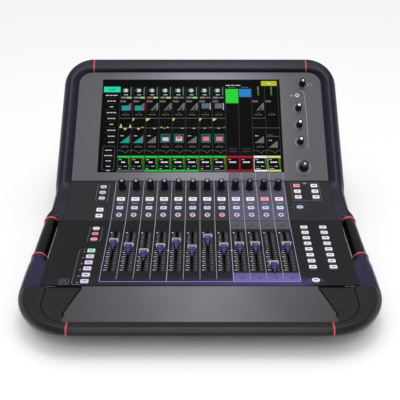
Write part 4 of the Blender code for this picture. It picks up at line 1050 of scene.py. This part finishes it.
# scale: marks on both sides of each slot, closer together near the top
scaleT = [36.5 + 5.6 * i for i in range(10)]
closeT = [92.5 + 3.6 * i for i in range(12)]
for i, x in enumerate(stripX):
    for row, t in enumerate(scaleT):
        if row % 2 == 0:
            scaleMark(x - 9.4, x - 6.8, t, 0.8, "white")
        scaleMark(x - 8.2, x - 4.0, t, 0.55, "scale")
        scaleMark(x + 4.0, x + 8.6, t, 0.5, "dim")
    for row, t in enumerate(closeT):
        scaleMark(x - 7.6, x - 3.8, t, 0.4, "scale" if row % 4 == 0 else "dim")
        scaleMark(x + 3.8, x + 7.6, t, 0.4, "dim")
    scaleMark(x - 9.0, x - 6.2, 136.1, 0.9, "white")
    scaleMark(x + 4.0, x + 6.0, 136.0, 0.4, "dim")
    scaleMark(x - 8.4, x - 6.8, 111.05, 0.55, "scale")
    faderPrint.append(pill(5.2, 2.0, 0.9, 4, x + 1.4, 17.2, ink["dark"] if i < 8 else "#26243c"))
    faderPrint.append(pill(4.6, 2.2, 1.0, 4, x - 1.0, 157.6, "#26262b" if i < 8 else "#22222a"))
# unity diamonds on two of the dividers
for i in (4, 8):
    faderPrint.append(plate([(gapX[i] - 3.0, 86.9), (gapX[i], 85.7), (gapX[i] + 3.0, 86.9), (gapX[i], 88.1)],
                            0.0, 0.12, linear("#c4c4cc")))
faderPrint += dividers(14.0, 171.0, [1, 2, 3, 5, 6, 7, 9, 10, 11], 0.95, "#8b87a2", ink["line"])
faderPrint += dividers(8.2, 171.0, [4, 8], 1.05, "#a39cd0", ink["line"])
# the frame under the strips turns up at both ends
cornerLeft = arc(gapX[0] + 2.5, 10.7, 2.5, 1.0, 1.5, 7)
outline = np.vstack([[(gapX[0], 171.0)], cornerLeft, cornerLeft[::-1] * (-1, 1), [(gapX[12], 171.0)]])
faderPrint.append(band(outline, 1.0, linear("#9690bb"), 0.0, 0.1))
# brackets round the key columns, and a lamp dot beside each page key
faderPrint += brackets(-178.0, [(9.5, 152.5), (10.8, 147.0), (10.8, 116.0), (9.5, 110.0)], 0.6)
faderPrint.append(stroke([(-187.0, 91.0), (-195.0, 90.0), (-197.5, 86.0), (-197.5, 4.0), (-194.0, 1.5),
                          (-185.0, 1.5)], 0.65))
for row in range(6):
    faderPrint.append(plate(circle(1.15, 14, -189.2, 82.9 - keyPitch * row), 0.0, 0.3, linear(ink["dot"])))
faderPrint.append(frameBand(13.5, 13.0, 1.4, 0.6, -209.8, 8.4, linear(ink["soft"])))
hoop, cups = phones(-209.8, 8.0, 3.1, -0.25, 1.25, 18, 0.8, "soft", (1.5, 3.0, 0.6, 3.0, 6.0))
sideLines = brackets(178.9, [(9.4, 15.5), (10.4, 12.0), (10.4, 9.0), (9.4, 5.0)], 0.55)
faderPrint += hoop + [part for pair in zip(cups, sideLines) for part in pair]
makePiece("faderPanelPrint", faderPrint, screenInk, faces["fader"], "desk")

# painted reflection: a sheet over strips one to eight, lighter than the bare coat and lighter still towards
# the top; the four right-hand strips get a printed lighter zone
stripPrint = [shadedBar(gapX[0], gapX[8], 0.8, 104.4, "#2c2b30", "#333237"),
              shadedBar(gapX[8], gapX[12], 0.8, 104.4, "#55526c", "#4c4b54")]
stripPrint += dividers(0.6, 104.6, range(13), 0.95, "#9a98a8", ink["line"])
for x in stripX:
    stripPrint.append(pill(9.6, 1.7, 0.4, 3, x, 44.6, "#8d8d93", 0.09))
    # a shallow dark ring round each shaft: a painted shadow round the knob's foot
    stripPrint.append(plate(circle(8.2, 28, x, 85.4), 0.0, 0.06, linear("#232228")))
stripPrint += brackets(-178.0, [(9.0, 97.0), (11.0, 92.0), (11.0, 54.0), (9.0, 49.0)], 0.6)
stripPrint.append(frameBand(52.0, 49.0, 3.0, 0.6, 194.5, 76.0, linear(ink["soft"])))
stripPrint.append(pill(7.6, 5.0, 2.4, 6, 194.5, 99.0, "#77777d", 0.25))
stripPrint.append(frameBand(22.0, 20.0, 3.0, 0.5, 178.5, 34.0, linear("#55555c")))
stripPrint.append(bar(157.5, 167.5, 33.8, 34.2, linear("#3e3e45")))
makePiece("stripPanelPrint", stripPrint, screenInk, faces["strip"], "desk")

screenPrint = [shadedBar(gapX[8], gapX[12], 0.8, 17.0, "#5d5c66", "#67666f")]
screenPrint += dividers(0.8, 16.8, [8, 9, 10, 11, 12], 0.8, "#9d9bac", "#a5a4b2")
screenPrint += [stroke(arc(192.5, t - 0.5, 9.6, 0.62, 1.42, 22), 0.9, "knobArc") for t in (154.7, 118.0, 81.4)]
screenPrint.append(stroke(arc(195.5, 27.8, 13.2, 0.72, 2.22, 34), 1.0, "knobArc"))
screenPrint.append(stroke([(190.0, 41.0), (184.0, 41.0), (182.3, 39.0), (182.3, 30.0)], 0.9, "knobArc"))
path = [(199.0, 194.5), (203.0, 193.6), (205.5, 190.5), (207.4, 150.0), (207.6, 96.0), (206.8, 70.5),
        (202.5, 67.0)]
screenPrint.append(band(path, 0.75, linear("#a0a0a7")))
screenPrint.append(bar(178.0, 184.0, 182.6, 183.8, linear("#b9b9c0")))
for angle in (-150, -125, -60, -35, -5, 20):
    turn = math.radians(angle)
    dot = circle(0.8, 10, 203.2 + 10.0 * math.cos(turn), 209.5 + 10.0 * math.sin(turn))
    screenPrint.append(plate(dot, 0.0, 0.08, linear(ink["phones"])))
hoop, cups = phones(219.0, 208.4, 3.4, 0.0, 1.0, 12, 0.7, "phones", (1.8, 3.4, 0.7, 3.2, 207.0))
screenPrint += hoop + cups
makePiece("screenPanelPrint", screenPrint, screenInk, faces["screen"], "desk")
print("printed marks made")

# The display: a generic channel page of twelve columns

hues = {
    "back": "#0c0c0d", "tab": "#2fd8b4", "word": "#c9c9cc", "rule": "#3a3a3c", "outline": "#5d5d60",
    "dial": "#c9cdcd",
    "teal": "#1f9a93", "tealDark": "#176b62", "grey": "#6b6b6e", "greyDark": "#3c3c3f", "button": "#8a8287",
    "green": "#9ad08a", "red": "#c0606c", "eq": "#c9cb8e", "eqLine": "#66675a", "frameGreen": "#2fbf45",
    "deepGreen": "#1c6e2c",
    "frameRed": "#a81c30", "white": "#eef0ee", "yellow": "#d8da84", "orange": "#93602e", "block": "#2ed83c",
    "blue": "#2b86cf", "olive": "#b9bd2e", "meter": "#5a7d54", "curve": "#56565a", "slate": "#5d6c78",
    "pink": "#d77f8f",
}
hues = {name: linear(value) for name, value in hues.items()}
columnX = [-157.3 + 25.9 * i for i in range(12)]
display = []


def draw(x0, x1, t0, t1, hue, layer=1):
    display.append(bar(x0, x1, t0, t1, hues[hue], -0.05, 0.05 * layer))


def words(x, t, width, height=1.9, hue="word", layer=2):
    # A label too small to read is a short row of blocks of uneven width
    shares = (0.0, 0.30, 0.36, 0.58, 0.64, 1.0)
    for a, b in zip(shares[::2], shares[1::2]):
        draw(x - width / 2 + a * width, x - width / 2 + b * width, t - height / 2, t + height / 2, hue, layer)


def wedge(x0, x1, t0, t1, hue, layer=2):
    # A ramp that rises to the right, as on a dynamics graph
    display.append(plate([(x0, t0), (x1, t0), (x1, t1)], -0.05, 0.05 * layer, hues[hue]))


def drawMenu():
    draw(-190.4, -157.8, 191.2, 203.9, "tab")
    words(-174.2, 197.4, 12.0, 2.0, "tealDark")
    widths = (23, 17, 7, 18, 15, 7, 16, 13, 12)
    for row, width in enumerate(widths):
        x, t = -174.6 + 0.55 * row, 184.1 - 12.95 * row
        words(x, t, width)
        if row < 8:
            draw(-187.0 + 0.3 * row, -163.0, t - 6.6, t - 6.0, "rule")
    display.append(frameBand(22.6, 49.6, 2.6, 0.8, -173.8, 47.2, hues["outline"], -0.05, 0.08))
    for row, width in enumerate((12, 15, 10, 8)):
        words(-174.6 + 0.4 * row, 63.5 - 11.2 * row, width)
        if row < 3:
            draw(-181.0, -166.5, 57.6 - 11.2 * row, 58.1 - 11.2 * row, "rule")
    words(-173.0, 21.0, 6.0)


def drawCurve(x0, heights, base, hue, width=0.8):
    # A smooth curve over a column: each bump is a bell about its own place
    x = np.linspace(0, 25.4, 34)
    t = np.full_like(x, base)
    for middle, height, spread in heights:
        t += height * np.exp(-((x - middle) / spread) ** 2)
    display.append(band(np.column_stack([x0 + x, t]), width, hues[hue], -0.05, 0.12))


def drawBells(x0, heights, base, hue):
    # The same bells, each filled down to the line
    for middle, height, spread in heights:
        x = np.linspace(-1.7 * spread, 1.7 * spread, 15)
        x = x[(middle + x > 0) & (middle + x < 25.4)]
        bell = height * np.exp(-(x / spread) ** 2)
        display.append(plate(np.column_stack([x0 + middle + x, base + bell]), -0.05, 0.14, hues[hue]))


curves = {
    0: [(4.2, 9.0, 1.9), (12.5, -5.2, 2.6), (22.3, 8.0, 1.7)],
    1: [(12.6, -4.6, 2.4), (20.0, 2.4, 1.6)],
    2: [(17.2, -2.4, 2.6)],
    3: [(5.0, 2.8, 1.6), (11.0, -1.4, 2.4), (17.0, 2.4, 1.8)],
    4: [(19.6, -1.8, 2.6)],
    5: [(16.0, -2.0, 2.6)],
    6: [(11.0, -1.6, 2.6), (24.0, 2.0, 4.0)],
    7: [(12.0, -2.0, 2.4), (24.0, 2.4, 4.0)],
    10: [],
    11: [],
}


def drawChannel(i):
    x = columnX[i]
    if i < 8:
        display.append(plate(circle(6.6, 26, x + 10.8, 195.2), -0.05, 0.06, hues["greyDark"]))
        display.append(plate(circle(5.9, 26, x + 10.8, 195.2), -0.05, 0.08, hues["back"]))
        display.append(plate(circle(4.1, 24, x + 10.8, 195.2), -0.05, 0.12, hues["dial"]))
        display.append(band(arc(x + 10.8, 195.2, 6.2, 0.75, 1.28 - 0.04 * (i % 3), 12), 1.0, hues["teal"],
                            -0.05, 0.14))
        words(x + 11.2, 185.3, 7.6, 1.7)
        draw(x + 19.8, x + 21.9, 183.8, 203.2, "meter")
        draw(x + 1.9, x + 11.4, 177.0, 180.8, "red" if i == 2 else "button")
        draw(x + 12.9, x + 22.6, 177.0, 180.8, "green" if i in (0, 1, 2, 3, 5) else "grey")
    if i in (10, 11):
        draw(x + 11.8, x + 14.9, 195.0, 204.0, "orange")
        draw(x + 11.8, x + 14.9, 183.8, 196.5, "deepGreen")
        draw(x + 12.4, x + 14.3, 186.0, 203.0, "meter", 2)
    draw(x + 0.8, x + 11.9, 168.6, 172.4, "grey")
    if i in (0, 1):
        display.append(plate([(x + 3.8, 150.0), (x + 20.8, 150.0), (x + 20.8, 164.8), (x + 15.0, 161.0),
                              (x + 3.8, 160.6)], -0.05, 0.1, hues["teal"]))
        wedge(x + 12.0, x + 21.4, 157.0, 166.9, "grey", 3)
        draw(x + 21.6, x + 23.2, 150.0, 166.9, "frameRed")
    elif i in (6, 7):
        draw(x + 5.0, x + 19.5, 154.5, 166.0, "slate")
        draw(x + 7.0, x + 17.4, 158.0, 162.0, "grey", 2)
        draw(x + 21.0, x + 22.6, 151.5, 166.9, "word")
    elif i != 11:
        wedge(x + 8.6, x + 21.6, 150.0, 166.9, "grey")
        wedge(x + 12.0, x + 20.0, 150.0, 160.0, "greyDark", 3)
        draw(x + 21.6, x + 23.2, 153.0, 166.9, "button")
    words(x + 12.4, 140.7, 14.0, 1.6, "grey")
    draw(x + 9.5, x + 16.0, 144.8, 145.8, "greyDark")
    if i != 11:
        draw(x + 0.0, x + 25.6, 132.3, 133.3, "eqLine")
    drawCurve(x, [], 111.6, "eqLine", 0.8)
    drawBells(x, curves[i], 111.6, "eq")
    if i in (1, 2, 4, 6, 7):
        reach = (4.5, 9.4, 5.5, 5.5, 8.5)[(1, 2, 4, 6, 7).index(i)]
        display.append(plate([(x + 0.4, 132.6), (x + reach, 132.6), (x + reach * 0.5, 127.6),
                              (x + 0.4, 126.6)],
                             -0.05, 0.12, hues["eq"]))
    low, high = (79.0, 94.0) if i != 11 else (69.0, 84.0)
    if i in (3, 4, 6, 7):
        draw(x + 3.6, x + 22.6, 79.4, 98.6, "tealDark")
        draw(x + 5.4, x + 20.8, 81.2, 96.8, "greyDark", 2)
        draw(x + 7.2, x + 19.4, 83.0, 92.4 if i != 3 else 91.0, "word" if i in (3, 4) else "pink", 3)
        if i == 4:
            draw(x + 9.4, x + 16.6, 87.4, 94.4, "red", 4)
    else:
        wedge(x + 3.4, x + 21.0, low, high, "teal" if i < 2 else "grey")
        words(x + 7.4, low + 15.4, 6.0, 1.6, "word")
        if i < 2:
            draw(x + 21.4, x + 23.2, low, 97.0, "frameRed")
    if i != 11:
        words(x + 13.4, 70.8, 14.0, 1.6, "grey")
        draw(x + 9.8, x + 16.4, 73.8, 74.8, "greyDark")
    else:
        draw(x + 0.6, x + 25.2, 92.6, 93.6, "eqLine")
        draw(x + 2.0, x + 13.0, 95.4, 96.6, "eqLine")
    shape = [(4.0, 2.0, 3.4), (15.5, -4.2, 2.6), (21.5, 1.8, 3.0)]
    drawCurve(x, shape, 61.6, "curve", 1.1)


def drawNames(i):
    x, right = columnX[i], columnX[i] + 25.3
    edge = "frameGreen" if i < 8 else "frameRed" if i < 10 else "white" if i == 10 else "yellow"
    side = "deepGreen" if i not in (8, 9) else "frameRed"
    draw(x + 0.5, right, 47.2, 51.9, edge)
    draw(x + 0.5, right, 18.9, 22.6, "outline" if i in (0, 1, 6, 7) else edge)
    draw(x + 0.5, x + 1.3, 18.9, 51.9, side if i < 8 else edge)
    draw(right - (1.6 if side == "frameRed" else 2.9), right, 22.6, 47.2, side)
    words(x + 12.0, 38.4, 7.0 if i < 3 else 12.5, 2.6, "white", 3)
    words(x + 6.0, 43.8, 5.0, 1.4, "word")
    if i not in (8, 9):
        draw(x + 21.2, x + 22.4, 34.0, 46.6, "orange", 2)
        words(x + 6.5, 29.7, 6.0, 1.3, "grey")
        words(x + 16.4, 29.7, 6.0, 1.3, "word")
        draw(x + 3.8, x + (12.0 if i > 6 else 7.5), 24.4, 25.6, "word", 2)


def drawDisplay():
    draw(-191.4, 156.6, 18.2, 219.5, "back", 0.6)
    drawMenu()
    for x in columnX + [columnX[-1] + 25.9]:
        draw(x - 0.45, x + 0.45, 52.5, 204.0, "rule")
    for i in range(12):
        if i not in (8, 9):
            drawChannel(i)
        drawNames(i)
    draw(50.6, 75.3, 166.4, 198.7, "block")
    draw(77.1, 100.8, 180.6, 198.7, "blue")
    for row in range(6):
        draw(53.0, 73.0, 169.2 + 5.0 * row, 169.7 + 5.0 * row, "frameGreen", 2)
    words(65.7, 206.9, 29.0, 1.9)
    words(62.4, 202.4, 14.0, 1.5, "grey")
    words(88.6, 202.4, 13.6, 1.5, "grey")
    draw(121.4, 152.6, 205.9, 217.0, "olive")
    words(137.0, 211.4, 7.0, 1.8, "white")
    for x in columnX[8:10]:
        display.append(frameBand(17.0, 11.6, 0.4, 0.5, x + 13.2, 63.4, hues["rule"], -0.05, 0.08))
        for t in (61.0, 65.6):
            draw(x + 6.6, x + 19.6, t - 0.5, t + 0.5, "curve")


drawDisplay()
makePiece("displayPicture", display, displayPixels, faces["screen"], "desk")
print("display drawn:", len(display), "marks")

# Rear: sockets, jacks, inlet, switch and screws

rear = {"socketCount": 12, "pitch": 30.0, "height": 160.0, "radius": 11.6, "plate": (26.0, 31.0)}


def socketFace(x, t):
    # A square-ish flange, a dished round face, three contact holes as dark studs, a latch and two screws
    dark, black, steel = linear("#1a1a1c"), linear("#060607"), linear("#8f9095")
    parts = [plate(roundedOutline(*rear["plate"], 3.0, 6, x, t), 0.05, 1.1, dark)]
    parts.append(turned([(rear["radius"], 0.4, False), (rear["radius"], 1.9, False),
                         (rear["radius"] - 0.7, 2.4, False),
                         (rear["radius"] - 1.6, 2.4, False), (rear["radius"] - 1.8, 1.6, False)], 40, x, t,
                         colour=black))
    for turn in (0.5, 1.1666, -0.1666):
        angle = turn * math.pi
        parts.append(plate(circle(1.5, 12, x + 4.6 * math.cos(angle), t + 4.6 * math.sin(angle)), 1.2, 1.75,
                           steel))
    parts.append(plate(roundedOutline(5.0, 3.0, 1.0, 4, x, t + 12.4), 0.5, 2.2, dark))
    for side in (-1, 1):
        parts.append(turned([(1.7, 0.6, False), (1.6, 1.5, False), (0.8, 1.8, False)], 14, x + side * 10.4,
                            t - side * 12.8,
                            colour=steel))
    return parts


sockets = []
for i in range(rear["socketCount"]):
    sockets += socketFace((i - 5.5) * rear["pitch"], rear["height"])
makePiece("microphoneSockets", sockets, screenInk, faces["rear"], "desk")
jackX = [130.0, 165.0]
jacks = []
for x in jackX:
    jacks.append(frameBand(15.2, 12.0, 0.8, 1.6, x, 75.0, linear("#a5a7ab"), 1.2, 1.9))
    for side in (-1, 1):
        jacks.append(plate(roundedOutline(2.0, 1.4, 0.4, 3, x + side * 5.2, 82.0), 1.4, 1.8,
                           linear("#6fd06a")))
makePiece("networkJackShields", jacks, nickelRim, faces["rear"], "desk")
repaint(pianoBlack, "mains_inlet", "power_switch")
screws = []
for x in np.linspace(-205, 205, 7):
    for t in (22.0, 208.0):
        screws.append(turned([(3.0, 0.05, False), (2.9, 0.8, False), (2.2, 1.4, False), (1.0, 1.6, False)],
                             20, x, t))
        screws.append(bar(x - 1.4, x + 1.4, t - 0.25, t + 0.25, plain, 1.4, 1.75))
makePiece("rearScrews", screws, zincPlate, faces["rear"], "desk")

# Feet: rubber strips with rounded ends and an eased tread

for node in ("front_foot", "rear_foot"):
    low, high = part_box(node)
    length, width, height = [(b - a) / mm for a, b in zip(low, high)]
    place = {"start": np.array([(low.x + high.x) / 2, (low.y + high.y) / 2, low.z]),
             "across": np.array([1.0, 0, 0]),
             "along": np.array([0, 1.0, 0]), "normal": np.array([0, 0, 1.0])}
    heights, insets = (0.0, 0.5, 1.6, 4.0, height - 1.0, height), (1.6, 0.8, 0.2, 0.0, 0.0, 0.5)
    rings = lifted([roundedOutline(length - 2 * inset, width - 2 * inset, width / 2 - inset - 0.2, 10)
                    for inset in insets], heights)
    makePiece(node.split("_")[0] + "FootStrip", [stack(rings)], footRubber, place, "desk",
              [node], 40)
print("rear and feet made")

# Stage

floorMaterial = startFinish("paleSweep", 0.62)
shaderOf(floorMaterial).inputs["Base Color"].default_value = linear("#f4f4f5")
mesh = bpy.data.meshes.new("floor")
reach = 14.0
mesh.from_pydata([(-reach, -reach, 0), (reach, -reach, 0), (reach, reach, 0), (-reach, reach, 0)], [],
                 [(0, 1, 2, 3)])
mesh.materials.append(floorMaterial)
floor = bpy.data.objects.new("floor", mesh)
bpy.context.scene.collection.objects.link(floor)

world = bpy.data.worlds.new("studio")
world.use_nodes = True
world.node_tree.nodes["Background"].inputs["Color"].default_value = linear("#ffffff")
world.node_tree.nodes["Background"].inputs["Strength"].default_value = 0.42
bpy.context.scene.world = world
# colours come out as they were picked
bpy.context.scene.view_settings.view_transform = "Standard"

# suns with a wide disc: a scrim overhead and a narrower fill from the front
suns = {
    "scrim": {"elevation": 88.0, "heading": 90.0, "spread": 70.0, "power": 1.15},
    "fill": {"elevation": 50.0, "heading": -90.0, "spread": 40.0, "power": 1.0},
}
for name, sun in suns.items():
    light = bpy.data.lights.new(name, "SUN")
    light.angle = math.radians(sun["spread"])
    light.energy = sun["power"]
    item = bpy.data.objects.new(name, light)
    item.rotation_euler = (math.radians(90 - sun["elevation"]), 0.0, math.radians(sun["heading"] + 90))
    bpy.context.scene.collection.objects.link(item)
# a softbox over the middle, which the screen panel and the armrest mirror as a broad highlight
light = bpy.data.lights.new("softbox", "AREA")
light.size = 0.6
light.energy = 5.0
item = bpy.data.objects.new("softbox", light)
item.location = (0.05, -0.12, 1.75)
bpy.context.scene.collection.objects.link(item)

camera = bpy.data.cameras.new("camera")
camera.lens = 58.709
camera.sensor_width = 36.0
view = bpy.data.objects.new("camera", camera)
faderStart = faces["fader"]["start"]
view.location = (0.0, faderStart[1] - 0.81253, faderStart[2] + 0.59421)
view.rotation_euler = (math.radians(61.263), 0.0, 0.0)
bpy.context.scene.collection.objects.link(view)
bpy.context.scene.camera = view
print("stage set")
